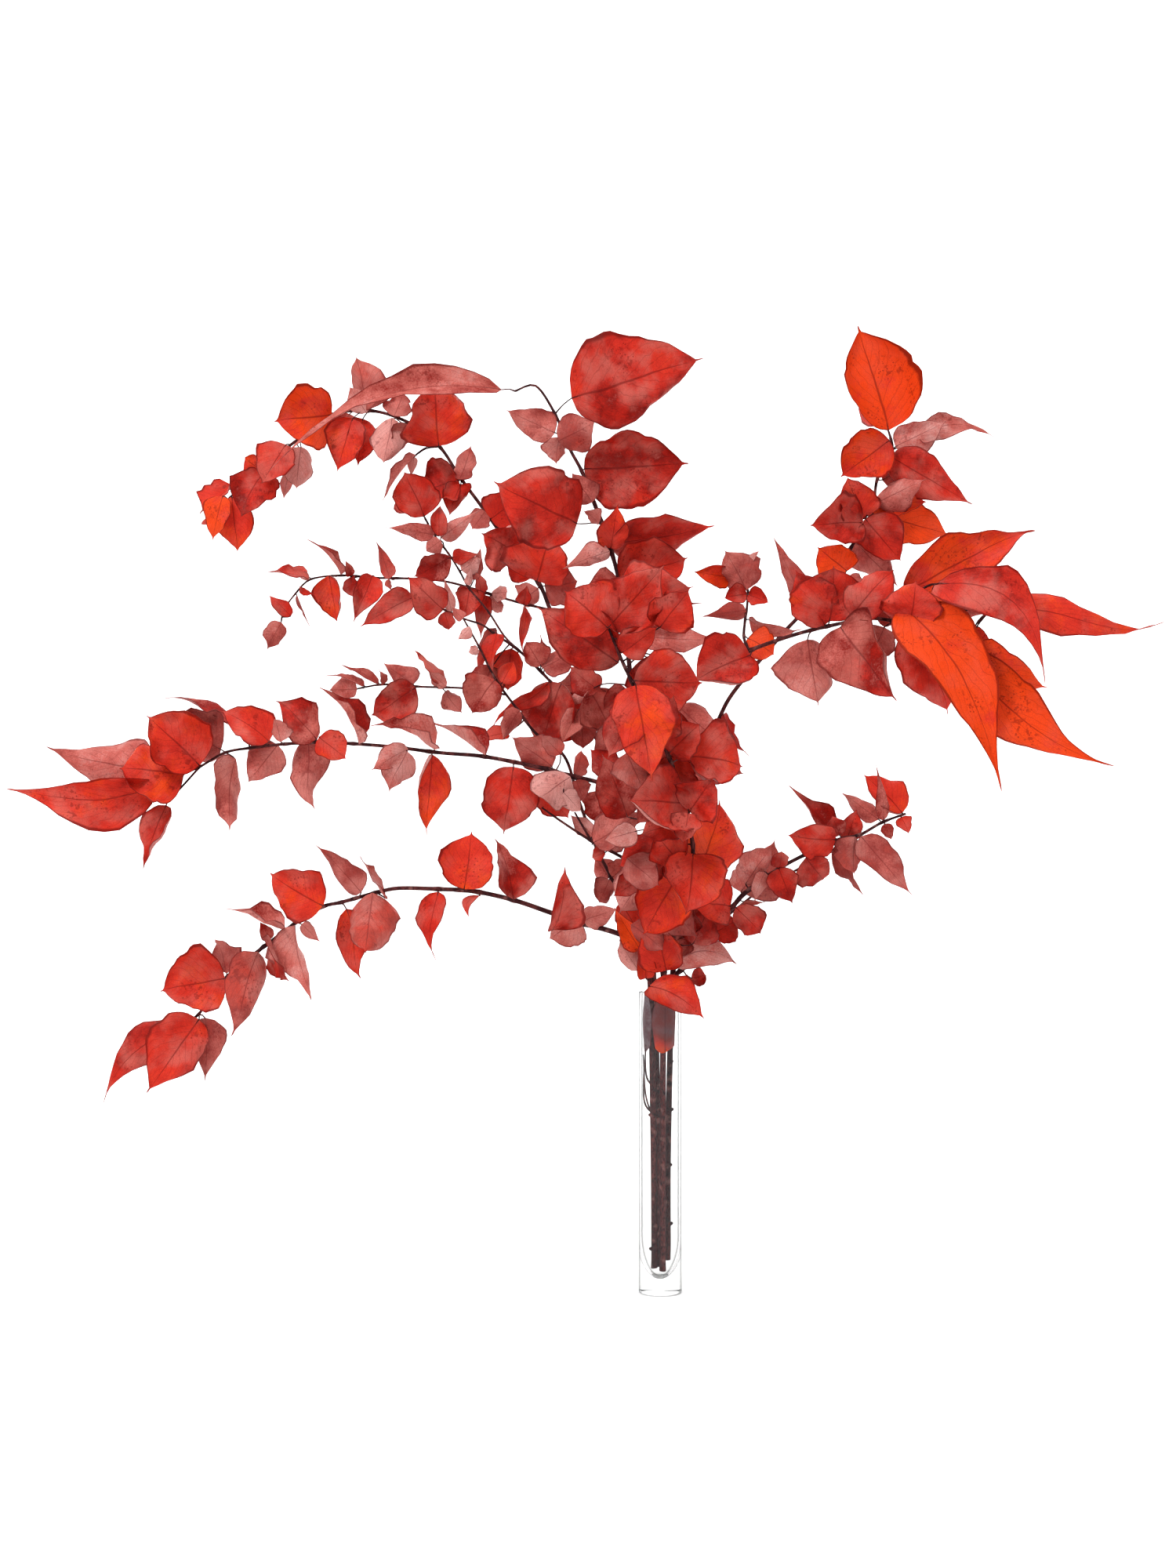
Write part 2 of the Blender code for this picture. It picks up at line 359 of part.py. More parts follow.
def stem_path(route):
    """Turn a route into points and radii in metres; a root stem ends just above the glass floor."""
    path = []
    for x, y, depth, radius in route:
        spread = DEPTH_SPREAD if 0 < y < VASE_MOUTH_Y else 1.0
        point = place(x, y or VASE_FOOT[1], depth * spread / 1000.0)
        if not y:
            reach = math.hypot(point.x, point.y) + radius / 1000.0
            point.z = glass_floor(reach) + SEAT_GAP
        path.append((point, radius / 1000.0))
    return path


def across(direction, guide):
    """The part of guide that is square to direction, as a unit vector."""
    rest = guide - direction * guide.dot(direction)
    if rest.length < 1e-6:
        rest = direction.orthogonal()
    return rest.normalized()


def tube_mesh(path, sides):
    """A closed tube along a path of points and radii."""
    points, faces = [], []
    count = len(path)
    guide = Vector((0.0, -1.0, 0.0))
    for index, (point, radius) in enumerate(path):
        before = path[max(index - 1, 0)][0]
        after = path[min(index + 1, count - 1)][0]
        direction = (after - before).normalized()
        if index == 0 and abs(direction.z) > 0.9:
            direction = Vector((0.0, 0.0, 1.0))
        guide = across(direction, guide)
        side = direction.cross(guide)
        for step in range(sides):
            angle = math.tau * step / sides
            points.append(point + guide * (radius * math.cos(angle)) + side * (radius * math.sin(angle)))
    for index in range(count - 1):
        for step in range(sides):
            a = index * sides + step
            b = index * sides + (step + 1) % sides
            faces.append((a, b, b + sides))
            faces.append((a, b + sides, a + sides))
    for step in range(1, sides - 1):
        faces.append((0, step + 1, step))
        last = (count - 1) * sides
        faces.append((last, last + step, last + step + 1))
    return points, faces


class Leaf:
    """One blade on its petiole; the blade is a function of u along it and v across it."""

    def __init__(self, row, path, thickness, chance, rear=False):
        base_x, base_y, tip_x, tip_y, width, turn, tone, *rest = row
        rest = rest + [0.0] * (3 - len(rest))
        self.row = row
        self.rear = rear
        self.thickness = thickness
        self.turn = math.radians(turn + chance.uniform(-TURN_SPREAD, TURN_SPREAD))
        self.twist = math.radians(rest[0] + chance.uniform(-TWIST_SPREAD, TWIST_SPREAD))
        self.sweep = rest[1]
        self.out = rest[2] / 1000.0
        self.width = width * WIDTH_GAIN * POINT_SIZE / max(abs(math.cos(self.turn)), 0.42)
        self.size = width
        self.path = path
        self.lean = chance.uniform(-0.6, 0.35) if not rear else chance.uniform(0.0, 0.5)
        self.bend = chance.uniform(0.0, 0.12)
        self.fold = math.radians(chance.uniform(4.0, 22.0))
        self.ripple = chance.uniform(0.04, 0.12) * self.width
        self.waves = chance.uniform(0.8, 1.9)
        self.phase = chance.uniform(0.0, math.tau)
        self.uneven = chance.uniform(-0.12, 0.12)
        slimness = math.hypot(tip_x - base_x, tip_y - base_y) / max(width, 1.0)
        self.tip_power = min(0.72 + 0.45 * max(slimness - 1.0, 0.0), 1.45)
        self.depth = -0.003 if not rear else 0.024
        self.shift(0.0, 0.0)

    def shift(self, depth, lean):
        """Set the leaf's places after moving it back by depth and leaning its tip back by lean."""
        base_x, base_y, tip_x, tip_y = self.row[:4]
        flat = place(base_x, base_y, 0.0)
        nearest, distance = None, 1e9
        for (start, _), (end, _) in zip(self.path, self.path[1:]):
            line = Vector((end.x - start.x, 0.0, end.z - start.z))
            share = (flat - start).dot(line) / max(line.length_squared, 1e-12)
            share = min(max(share, 0.0), 1.0)
            spot = start.lerp(end, share)
            seen = place(base_x, base_y, spot.y)
            away = math.hypot(spot.x - seen.x, spot.z - seen.z)
            if away < distance:
                nearest, distance = spot, away
        self.root = nearest
        base_depth = nearest.y + self.depth - self.out + depth
        self.base = place(base_x, base_y, base_depth)
        flat_length = math.hypot(tip_x - base_x, tip_y - base_y) * POINT_SIZE
        tip_depth = base_depth + (self.lean + lean) * flat_length
        self.tip = place(tip_x, tip_y, tip_depth)
        axis = (self.tip - self.base).normalized()
        if (self.base - self.root).length < 0.004:
            self.base = self.base + axis * (0.004 - (self.base - self.root).length)
        self.axis = (self.tip - self.base).normalized()
        self.length = (self.tip - self.base).length
        self.face = across(self.axis, Vector((0.0, -1.0, 0.0)))
        self.side = self.axis.cross(self.face)

    def frame(self, u):
        """Centre, side and facing direction of the blade at u."""
        angle = self.turn + self.twist * (u - 0.5)
        facing = self.face * math.cos(angle) + self.side * math.sin(angle)
        side = self.side * math.cos(angle) - self.face * math.sin(angle)
        arch = 4.0 * u * (1.0 - u) * self.length
        centre = self.base + self.axis * (self.length * u) + self.side * (self.sweep * arch)
        return centre + facing * (self.bend * arch), side, facing

    def half_width(self, u, v=0.0):
        """The blade's reach at u on one side: round near the base, drawn in to where the drip tip starts."""
        t = min(u / BODY_SHARE, 1.0)
        peak = BASE_POWER / (BASE_POWER + self.tip_power)
        top = peak ** BASE_POWER * (1.0 - peak) ** self.tip_power
        edge = 1.0 + self.uneven * v + 0.09 * math.sin(math.tau * 1.4 * u + self.phase * (2.0 + v)) * abs(v)
        return 0.5 * self.width * edge * t ** BASE_POWER * (1.0 - t) ** self.tip_power / top

    def point(self, u, v, lift):
        """A point at u along and v across, from -1 to 1, at a height over the middle of the thickness."""
        centre, side, facing = self.frame(u)
        reach = self.half_width(u, max(min(v, 1.0), -1.0)) * v
        wave = math.sin(math.tau * self.waves * u + self.phase + (2.1 if v > 0.0 else 0.0))
        lift += self.ripple * wave * abs(v) ** 1.6 * math.sin(math.pi * u) + abs(reach) * math.sin(self.fold)
        return centre + side * (reach * math.cos(self.fold)) + facing * lift

    def stations(self):
        if self.size > 94 and not self.rear:
            return (0.08, 0.30, 0.58, 0.82)
        if self.size > 64 and not self.rear:
            return (0.12, 0.42, 0.74)
        if self.size > 13:
            return (0.22, 0.66)
        return (0.4,)

    def mesh(self, grow=0.0, bare=False):
        """Points and triangles of the petiole and blade as one closed skin, grown by a margin, or of the blade."""
        half = self.thickness / 2.0 + grow
        radius = PETIOLE_RADIUS + grow
        lines = (-1.0, 1.0) if self.size < 54 else (-1.0, 0.0, 1.0)
        _, side, facing = self.frame(0.0)
        stalk = (self.base - self.root).normalized()
        joint = stalk + self.axis
        joint = joint.normalized() if joint.length > 0.3 else self.axis
        points, rings = [], []
        root = self.base - stalk * 0.0008 if bare else self.root
        for centre, direction in ((root, stalk), (self.base, joint)):
            up = across(direction, facing)
            right = direction.cross(up)
            points += [centre - right * radius + up * (0.5 * radius), centre + right * radius
                       + up * (0.5 * radius), centre - up * radius]
            start = len(points) - 3
            rings.append(([start, start + 1], [start + 2]))
        for u in self.stations():
            start = len(points)
            spread = 1.0 + grow / max(self.half_width(u), 1e-6)
            points += [self.point(u, v * spread, half) for v in lines]
            points += [self.point(u, v * spread, -half) for v in lines]
            count = len(lines)
            rings.append((list(range(start, start + count)), list(range(start + count, start + 2 * count))))
        points.append(self.point(1.0, 0.0, 0.0) + self.axis * grow)
        return points, leaf_faces(rings, len(points) - 1)


def strip(lower, upper):
    """Triangles between two rows of points that run the same way; rows may differ in count."""
    faces = []
    if len(lower) == len(upper):
        for a, b, c, d in zip(lower, lower[1:], upper[1:], upper):
            faces += [(a, b, c), (a, c, d)]
    elif len(lower) == 1:
        faces += [(lower[0], b, a) for a, b in zip(upper, upper[1:])]
    elif len(lower) == 2 and len(upper) == 3:
        faces += [(lower[0], lower[1], upper[1]), (lower[0], upper[1], upper[0]), (lower[1], upper[2], upper[1])]
    return faces


def leaf_faces(rings, tip):
    """Triangles over the rings of front and back points, the root's cap and the tip."""
    first_front, first_back = rings[0]
    faces = [(first_front[0], first_back[0], first_front[1])]
    for (front, back), (next_front, next_back) in zip(rings, rings[1:]):
        faces += strip(front, next_front)
        faces += [tuple(reversed(face)) for face in strip(back, next_back)]
        faces += [(front[0], next_front[0], next_back[0]), (front[0], next_back[0], back[0])]
        faces += [(front[-1], back[-1], next_back[-1]), (front[-1], next_back[-1], next_front[-1])]
    front, back = rings[-1]
    faces += [(a, b, tip) for a, b in zip(front, front[1:])]
    faces += [(b, a, tip) for a, b in zip(back, back[1:])]
    faces += [(front[0], tip, back[0]), (front[-1], back[-1], tip)]
    return faces


class Skin:
    """A mesh kept with its box and search tree, to find what it would cross."""

    def __init__(self, owner, points, faces, stem=False):
        self.owner = owner
        self.stem = stem
        self.low = [min(point[axis] for point in points) for axis in range(3)]
        self.high = [max(point[axis] for point in points) for axis in range(3)]
        self.tree = BVHTree.FromPolygons(points, faces)

    def meets(self, other):
        for axis in range(3):
            if self.high[axis] < other.low[axis] or other.high[axis] < self.low[axis]:
                return False
        return bool(self.tree.overlap(other.tree))


def vase_profile():
    """The outline of the glass from the axis under the foot, up the outside and down inside to the floor."""
    inner = VASE_RADIUS - VASE_WALL
    outline = [(0.0, 0.0), (VASE_RADIUS - FOOT_CHAMFER, 0.0), (VASE_RADIUS, FOOT_CHAMFER),
               (VASE_RADIUS, VASE_HEIGHT - FOOT_CHAMFER), (VASE_RADIUS - FOOT_CHAMFER, VASE_HEIGHT),
               (inner + FOOT_CHAMFER, VASE_HEIGHT), (inner, VASE_HEIGHT - FOOT_CHAMFER)]
    return outline + bowl_outline()


def vase_mesh():
    """Points and triangles of the turned glass."""
    outline = vase_profile()
    ring = outline[1:-1]
    points = [Vector((0.0, 0.0, outline[0][1]))]
    for radius, height in ring:
        for step in range(VASE_SIDES):
            angle = math.tau * step / VASE_SIDES
            points.append(Vector((radius * math.cos(angle), radius * math.sin(angle), height)))
    points.append(Vector((0.0, 0.0, outline[-1][1])))
    faces = []
    for step in range(VASE_SIDES):
        after = (step + 1) % VASE_SIDES
        faces.append((0, 1 + after, 1 + step))
        for level in range(len(ring) - 1):
            a = 1 + level * VASE_SIDES
            b = a + VASE_SIDES
            faces.append((a + step, a + after, b + after))
            faces.append((a + step, b + after, b + step))
        last = 1 + (len(ring) - 1) * VASE_SIDES
        faces.append((last + step, last + after, len(points) - 1))
    return points, faces


def grow_leaves(paths, skins):
    """Choose each leaf's depth and lean, largest leaves first, so that it crosses nothing of another body."""
    chance = random.Random(SEED)
    leaves = []
    for name, stems in BRANCHES.items():
        for (_, rows), path in zip(stems, paths[name]):
            for number, row in enumerate(fuller(row, FULLNESS[name]) for row in rows):
                leaves.append((name, Leaf(row, path, LEAF_THICKNESS[name], chance)))
                if row[4] >= REAR_MIN_WIDTH and number % REAR_STEP == 0 and row[1] < 1230:
                    back = rear_row(row, chance)
                    leaves.append((name, Leaf(back, path, LEAF_THICKNESS[name], chance, rear=True)))
    leaves.sort(key=lambda pair: (pair[1].rear, -pair[1].size))
    kept = {name: [] for name in BRANCHES}
    for name, leaf in leaves:
        if settle(name, leaf, skins):
            kept[name].append(leaf)
    return kept


def fuller(row, gain):
    """The row with its blade drawn out from the base, where the blade isn't one of the large ones."""
    base_x, base_y, tip_x, tip_y, width = row[:5]
    if width >= LARGE_LEAF:
        return row
    return (base_x, base_y, base_x + gain * (tip_x - base_x), base_y + gain * (tip_y - base_y),
            width * gain, *row[5:])


def rear_row(row, chance):
    """A leaf on the far side of the stem, behind the one in row and a little smaller."""
    base_x, base_y, tip_x, tip_y, width, turn, tone = row[:7]
    size = chance.uniform(0.72, 0.9)
    middle_x, middle_y = (base_x + tip_x) / 2.0, (base_y + tip_y) / 2.0
    drift = chance.uniform(-0.06, 0.06) * width
    return (middle_x + (base_x - middle_x) * size, middle_y + (base_y - middle_y) * size + drift,
            middle_x + (tip_x - middle_x) * size, middle_y + (tip_y - middle_y) * size + drift,
            width * size, chance.choice((180, 160, 200)), tone)


def settle(name, leaf, skins):
    """Try depths and leans near the leaf's own and keep the one that crosses least."""
    best = None
    depths = (0, -3, 3, -6, 6, -9, 9, -13, 13, -17, 17, -22, 22, -28, 28)
    tries = [(depth, lean) for depth in depths for lean in (0.0, -0.3, 0.3, -0.6, 0.6)]
    if leaf.out:
        tries = [(depth, lean) for depth in depths[:3] for lean in (0.0, -0.2, 0.2, -0.4)]
    for depth, lean in tries:
        leaf.shift(depth / 1000.0, lean)
        skin = Skin(name, *leaf.mesh(CLEARANCE))
        blade = Skin(name, *leaf.mesh(CLEARANCE, bare=True))
        cost = abs(depth) * 0.01 + abs(lean) * 0.2
        for other in skins:
            if other.owner == name:
                cost += 1.0 if (blade if other.stem else skin).meets(other) else 0.0
            elif skin.meets(other):
                cost += 100.0
        if best is None or cost < best[0]:
            best = (cost, depth, lean, skin)
        if cost < 0.05:
            break
    cost, depth, lean, skin = best
    leaf.shift(depth / 1000.0, lean)
    if cost >= 100.0 or (leaf.rear and cost >= 1.0):
        return False
    skins.append(skin)
    return True


def keep_outer_skin(mesh):
    """Fill the pin-sized hollows that fusing seals: keep only the largest run of linked faces."""
    bm = bmesh.new()
    bm.from_mesh(mesh)
    left, runs = set(bm.faces), []
    while left:
        run, front = set(), [left.pop()]
        while front:
            face = front.pop()
            run.add(face)
            near = {other for edge in face.edges for other in edge.link_faces} & left
            left -= near
            front.extend(near)
        runs.append(run)
    largest = max(runs, key=len)
    scraps = [face for face in bm.faces if face not in largest]
    bmesh.ops.delete(bm, geom=scraps, context="FACES")
    bm.to_mesh(mesh)
    bm.free()


def fuse(name, parts, material):
    """Join the first part and the rest, which reach into each other, into one body."""
    body = parts[0]
    group = bpy.data.collections.new(name + "_parts")
    bpy.context.scene.collection.children.link(group)
    for item in parts[1:]:
        bpy.context.scene.collection.objects.unlink(item)
        group.objects.link(item)
    union = body.modifiers.new("union", "BOOLEAN")
    union.operation = "UNION"
    union.operand_type = "COLLECTION"
    union.collection = group
    union.solver = "MANIFOLD"
    bpy.context.view_layer.update()
    graph = bpy.context.evaluated_depsgraph_get()
    mesh = bpy.data.meshes.new_from_object(body.evaluated_get(graph))
    body.modifiers.clear()
    body.data = mesh
    keep_outer_skin(mesh)
    for item in list(group.objects):
        bpy.data.objects.remove(item, do_unlink=True)
    bpy.data.collections.remove(group)
    body.name = name
    mesh.name = name
    mesh.materials.clear()
    mesh.materials.append(material)
    return body


def build_vase():
    points, faces = vase_mesh()
    vase = mesh_object("glass_vase", points, faces)
    vase.data.materials.append(make_material("clear_glass", (0.95, 0.97, 0.97), 0.03, 0.0, 1.0))
    vase.data.shade_smooth()
    vase.data.set_sharp_from_angle(angle=math.radians(35.0))
    return Skin("glass_vase", points, faces)


def build_branches(skins):
    """Make each branch: its stems and twigs, then its leaves, all fused."""
    paths = {name: [stem_path(route) for route, _ in stems] for name, stems in BRANCHES.items()}
    tubes = {name: [] for name in BRANCHES}
    for name in BRANCHES:
        for path in paths[name]:
            sides = STEM_SIDES if path[0][1] > THICK_STEM else TWIG_SIDES
            tubes[name].append(tube_mesh(path, sides))
            grown = [(point, radius + CLEARANCE) for point, radius in path]
            skins.append(Skin(name, *tube_mesh(grown, sides), stem=True))
    kept = grow_leaves(paths, skins)
    for number, name in enumerate(BRANCHES):
        red = make_material(name + "_leaf", (0.62, 0.035 + 0.004 * number, 0.02), 0.42)
        parts = [mesh_object(name, *mesh) for mesh in tubes[name]]
        parts += [mesh_object(name, *leaf.mesh()) for leaf in kept[name]]
        fuse(name, parts, red)


def main():
    clear_scene()
    skins = [build_vase()]
    build_branches(skins)


main()
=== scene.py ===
"""Preserved eucalyptus branches in a slim glass tube vase, dressed for a studio picture.

Metres, +Z up, in the frame of the CAD model: the origin is the centre of the vase's flat underside, and the
branches face -Y. The stems' routes, the leaves' places and the rule that keeps one branch clear of another
are those of the CAD model, so each fine leaf and stem lies where its plain solid lies.
"""

import math
import random

import bmesh
import bpy
from bpy.props import FloatProperty, FloatVectorProperty, IntProperty, PointerProperty
from bpy.types import Operator, Panel, PropertyGroup
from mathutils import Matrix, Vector
from mathutils.bvhtree import BVHTree


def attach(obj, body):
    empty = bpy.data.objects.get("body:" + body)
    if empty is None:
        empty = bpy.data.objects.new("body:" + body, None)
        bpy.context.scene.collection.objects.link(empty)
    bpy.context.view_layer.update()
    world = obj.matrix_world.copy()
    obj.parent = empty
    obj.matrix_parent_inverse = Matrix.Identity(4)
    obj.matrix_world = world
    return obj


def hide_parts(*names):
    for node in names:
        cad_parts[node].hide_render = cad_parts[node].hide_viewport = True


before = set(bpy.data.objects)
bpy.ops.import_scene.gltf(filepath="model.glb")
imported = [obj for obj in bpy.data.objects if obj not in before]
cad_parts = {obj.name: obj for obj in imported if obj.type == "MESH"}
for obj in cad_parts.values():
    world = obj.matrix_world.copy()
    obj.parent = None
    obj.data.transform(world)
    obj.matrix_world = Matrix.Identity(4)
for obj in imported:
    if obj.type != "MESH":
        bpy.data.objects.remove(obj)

bl_info = {
    "name": "Eucalyptus Bunch",
    "version": (1, 0, 0),
    "blender": (4, 5, 0),
    "location": "View3D > Sidebar > Eucalyptus",
    "description": "Models dyed eucalyptus branches in a glass tube vase, with a studio stage",
    "category": "Object",
}

# Driving dimensions of the plain solids, in metres.
VASE_HEIGHT = 0.2496
VASE_RADIUS = 0.018
VASE_WALL = 0.0023
VASE_FLOOR = 0.0118
BOWL_HEIGHT = 0.035
VASE_SIDES = 32
BOWL_STEPS = 7
FOOT_CHAMFER = 0.0006
LEAF_THICKNESS = {"stem_left": 0.0006, "stem_upper_left": 0.0006, "stem_centre": 0.0007,
                  "stem_right": 0.00105}
PETIOLE_RADIUS = 0.0006
SEAT_GAP = 0.0003
CLEARANCE = 0.0004

# The picture: the size of one picture point at the vase, the viewer's distance, the picture's height in
# points, and the points that the viewer looks at and that the vase stands on.
POINT_SIZE = 0.00065
VIEW_DISTANCE = 2.1
VIEW_HEIGHT = 2000.0
VIEW_CENTRE = (750.0, 1000.0)
VASE_FOOT = (842.0, 1648.0)

SEED = 4127
TURN_SPREAD = 18.0
TWIST_SPREAD = 26.0
BODY_SHARE = 0.94
BASE_POWER = 0.5
WIDTH_GAIN = 1.1
FULLNESS = {"stem_left": 1.05, "stem_upper_left": 1.06, "stem_centre": 1.22, "stem_right": 1.05}
LARGE_LEAF = 76
STEM_SIDES = 6
TWIG_SIDES = 4
THICK_STEM = 0.0016
DEPTH_SPREAD = 1.7
VASE_MOUTH_Y = 1230
REAR_STEP = 7
REAR_MIN_WIDTH = 46

# The finer shapes and the finishes: the widths in points above which blades get more rings, the sides of the
# thin tubes, lengths in metres, and the material slots of a blade's faces.
LARGE_BLADE = 62
SMALL_BLADE = 26
DRIP_WIDTH = 0.05
KNUCKLE_LENGTH = 0.0025
PETIOLE_SIDES = 6
STUB_SIDES = 7
STALK_SIDES = 8
FLOOR_SLACK = 0.0001
SHARP_ANGLE = math.radians(62.0)
UPPER_FACE, UNDER_FACE, NECK_FACE = 0, 1, 2
LEAF_GLOSS = 0.1
BARK_GLOSS = 0.08
TRANSLUCENCY = 0.24
GLASS_INDEX = 1.27

# The stage: the camera's sensor in mm, the fill light's share of the key light, and the sweep in metres.
SENSOR_WIDTH = 36.0
FILL_SHARE = 0.16
SWEEP_WIDTH = 14.0
SWEEP_FRONT = -4.0
SWEEP_LENGTH = 9.0
SWEEP_START = 3.0
SWEEP_RADIUS = 1.2
WALL_STRETCH = 16.0
FLOOR_DROP = 0.0003

# Routes of the stems, from the root end to the tip: picture x and y, depth behind the vase's axis in mm, and
# the stem's radius in mm.
LEFT_STEM = [
    (835, 0, -6, 2.8), (834, 1480, -6, 2.7), (830, 1264, -8, 2.6), (822, 1208, -10, 2.4),
    (789, 1191, -14, 2.2), (741, 1177, -18, 2.1), (705, 1165, -22, 2.0), (655, 1148, -27, 1.9),
    (605, 1137, -32, 1.8), (559, 1134, -36, 1.7), (507, 1133, -41, 1.6), (478, 1139, -43, 1.5),
    (435, 1151, -46, 1.4), (413, 1156, -48, 1.4), (377, 1177, -50, 1.3), (327, 1215, -53, 1.2),
    (289, 1246, -56, 1.1), (253, 1294, -58, 1.0), (236, 1306, -60, 0.8),
]
LEFT_MID_STEM = [
    (825, 1240, -9, 2.2), (820, 1180, -4, 2.1), (812, 1104, -6, 2.0), (799, 1013, -12, 1.9),
    (760, 997, -16, 1.8), (728, 990, -18, 1.8), (693, 980, -20, 1.7), (618, 965, -24, 1.6),
    (560, 960, -27, 1.5), (495, 952, -30, 1.4), (415, 947, -34, 1.3), (364, 949, -36, 1.2),
    (319, 954, -38, 1.1), (287, 960, -40, 1.0), (255, 978, -41, 0.9), (236, 986, -42, 0.8),
]
LEFT_MID_TIP = [(255, 978, -41, 0.9), (212, 1022, -44, 0.8), (191, 1016, -46, 0.7)]
BARE_STEM = [
    (812, 1104, -6, 1.5), (778, 1085, -14, 1.3), (753, 1072, -18, 1.2), (712, 1045, -22, 1.0),
    (691, 1030, -24, 0.7),
]
BARE_SIDE = [(753, 1071, -18, 1.0), (733, 1036, -21, 0.8)]
VASE_TWIG = [
    (833, 1424, -7, 0.9), (826, 1406, -5, 0.7), (823, 1389, -4, 0.7), (822, 1370, -3, 0.6),
    (821, 1345, -2, 0.5),
]
ARCH_STEM = [
    (840, 0, 6, 2.7), (839, 1480, 7, 2.6), (835, 1264, 8, 2.5), (822, 1150, 16, 2.2), (806, 1050, 24, 2.1),
    (790, 988, 30, 2.0), (767, 927, 35, 1.9), (749, 863, 40, 1.9), (724, 818, 46, 1.8), (702, 778, 52, 1.8),
    (689, 747, 56, 1.7), (658, 707, 62, 1.7), (618, 651, 70, 1.6), (587, 609, 76, 1.5), (561, 570, 82, 1.4),
    (525, 541, 86, 1.4), (474, 524, 90, 1.3), (419, 531, 96, 1.2), (374, 565, 100, 1.1),
    (330, 600, 104, 1.0), (293, 635, 108, 0.9), (272, 662, 110, 0.7),
]
ARCH_TWIG = [
    (702, 778, 52, 1.2), (660, 768, 50, 1.1), (623, 757, 48, 1.1), (570, 742, 45, 1.0), (523, 738, 42, 1.0),
    (478, 737, 40, 0.9), (437, 734, 38, 0.9), (396, 739, 36, 0.8), (377, 757, 35, 0.7), (362, 778, 34, 0.7),
    (359, 791, 34, 0.6),
]
MIDDLE_STEM = [
    (790, 988, 30, 1.5), (772, 960, 28, 1.4), (735, 907, 24, 1.3), (699, 866, 20, 1.2), (661, 829, 17, 1.1),
    (633, 810, 15, 1.0), (615, 797, 14, 0.9), (591, 789, 13, 0.9), (565, 777, 12, 0.7),
]
MIDDLE_SIDE = [
    (661, 829, 17, 1.0), (643, 811, 24, 0.9), (622, 779, 28, 0.9), (598, 750, 31, 0.9), (586, 728, 33, 0.8),
    (572, 706, 34, 0.8), (552, 679, 36, 0.7), (532, 641, 38, 0.6),
]
THIN_STEM = [
    (832, 1240, 10, 1.7), (802, 1169, 16, 1.6), (779, 1118, 19, 1.5), (760, 1080, 20, 1.5),
    (738, 1020, 12, 1.4), (720, 965, 4, 1.3), (683, 935, 0, 1.2), (660, 905, -2, 1.1), (632, 866, -4, 1.0),
    (611, 825, -5, 0.9), (591, 789, -6, 0.6),
]
THIN_SIDE = [
    (645, 886, -3, 1.0), (593, 878, -6, 0.9), (538, 876, -9, 0.9), (489, 873, -11, 0.8),
    (449, 880, -12, 0.6),
]
CENTRE_STEM = [
    (845, 0, -6, 2.8), (845, 1480, -7, 2.7), (846, 1264, -8, 2.6), (846, 1215, -5, 2.4),
    (833, 1100, -1, 2.2), (819, 985, 4, 2.1), (805, 868, 9, 2.0), (790, 744, 14, 1.9), (775, 688, 17, 1.8),
    (760, 647, 19, 1.7), (742, 601, 21, 1.5), (727, 573, 22, 1.4), (708, 528, 24, 1.2), (683, 492, 26, 1.0),
    (657, 499, 27, 0.8),
]
FRONT_STEM = [
    (847, 1240, -7, 1.9), (862, 1180, -22, 1.8), (880, 1120, -38, 1.7), (884, 1083, -46, 1.7),
    (879, 1054, -52, 1.6), (870, 1016, -57, 1.6), (853, 965, -62, 1.5), (831, 920, -65, 1.4),
    (805, 868, -68, 1.3), (790, 835, -70, 1.1), (774, 795, -72, 0.9),
]
RIGHT_STEM = [
    (852, 0, 6, 2.8), (852, 1480, 6, 2.7), (857, 1264, 6, 2.6), (862, 1180, 12, 2.3), (858, 1060, 20, 2.2),
    (853, 960, 24, 2.1), (860, 892, 18, 2.0), (882, 872, 8, 1.9), (920, 848, -4, 1.8), (958, 829, -15, 1.7),
    (1012, 810, -28, 1.6), (1055, 799, -38, 1.5), (1109, 789, -50, 1.4), (1144, 794, -56, 1.3),
    (1156, 809, -58, 1.2), (1200, 806, -64, 1.0), (1238, 832, -70, 0.8),
]
RIGHT_SPRAY = [(1144, 794, -56, 1.1), (1158, 768, -58, 1.0), (1195, 745, -62, 0.9), (1262, 779, -66, 0.6)]
UPPER_RIGHT_STEM = [
    (862, 1180, 12, 2.1), (882, 1060, 30, 2.0), (905, 960, 42, 1.9), (927, 896, 50, 1.8),
    (977, 833, 58, 1.8), (1003, 803, 62, 1.7), (1024, 781, 66, 1.7), (1060, 740, 70, 1.6),
    (1085, 699, 74, 1.5), (1112, 654, 78, 1.4), (1119, 611, 80, 1.3), (1138, 574, 82, 1.2),
    (1133, 549, 83, 0.9),
]
RIGHT_SHOOT_STEM = [
    (955, 830, -14, 1.3), (949, 814, -6, 1.2), (950, 794, 4, 1.1), (953, 773, 12, 1.0), (954, 753, 18, 0.8),
]
RIGHT_LOW_STEM = [
    (860, 1245, 6, 2.0), (884, 1222, 2, 1.9), (910, 1186, -3, 1.8), (935, 1156, -8, 1.8),
    (949, 1140, -10, 1.7), (992, 1109, -12, 1.6), (1023, 1092, -12, 1.5), (1070, 1071, -10, 1.3),
    (1096, 1065, -8, 1.2), (1125, 1049, -4, 1.1), (1155, 1038, 0, 0.8),
]
RIGHT_LOW_TWIN = [
    (916, 1179, -4, 1.1), (938, 1160, 6, 1.0), (972, 1134, 10, 1.0), (1021, 1107, 10, 1.0),
    (1080, 1076, 4, 0.9), (1125, 1049, -4, 0.9),
]

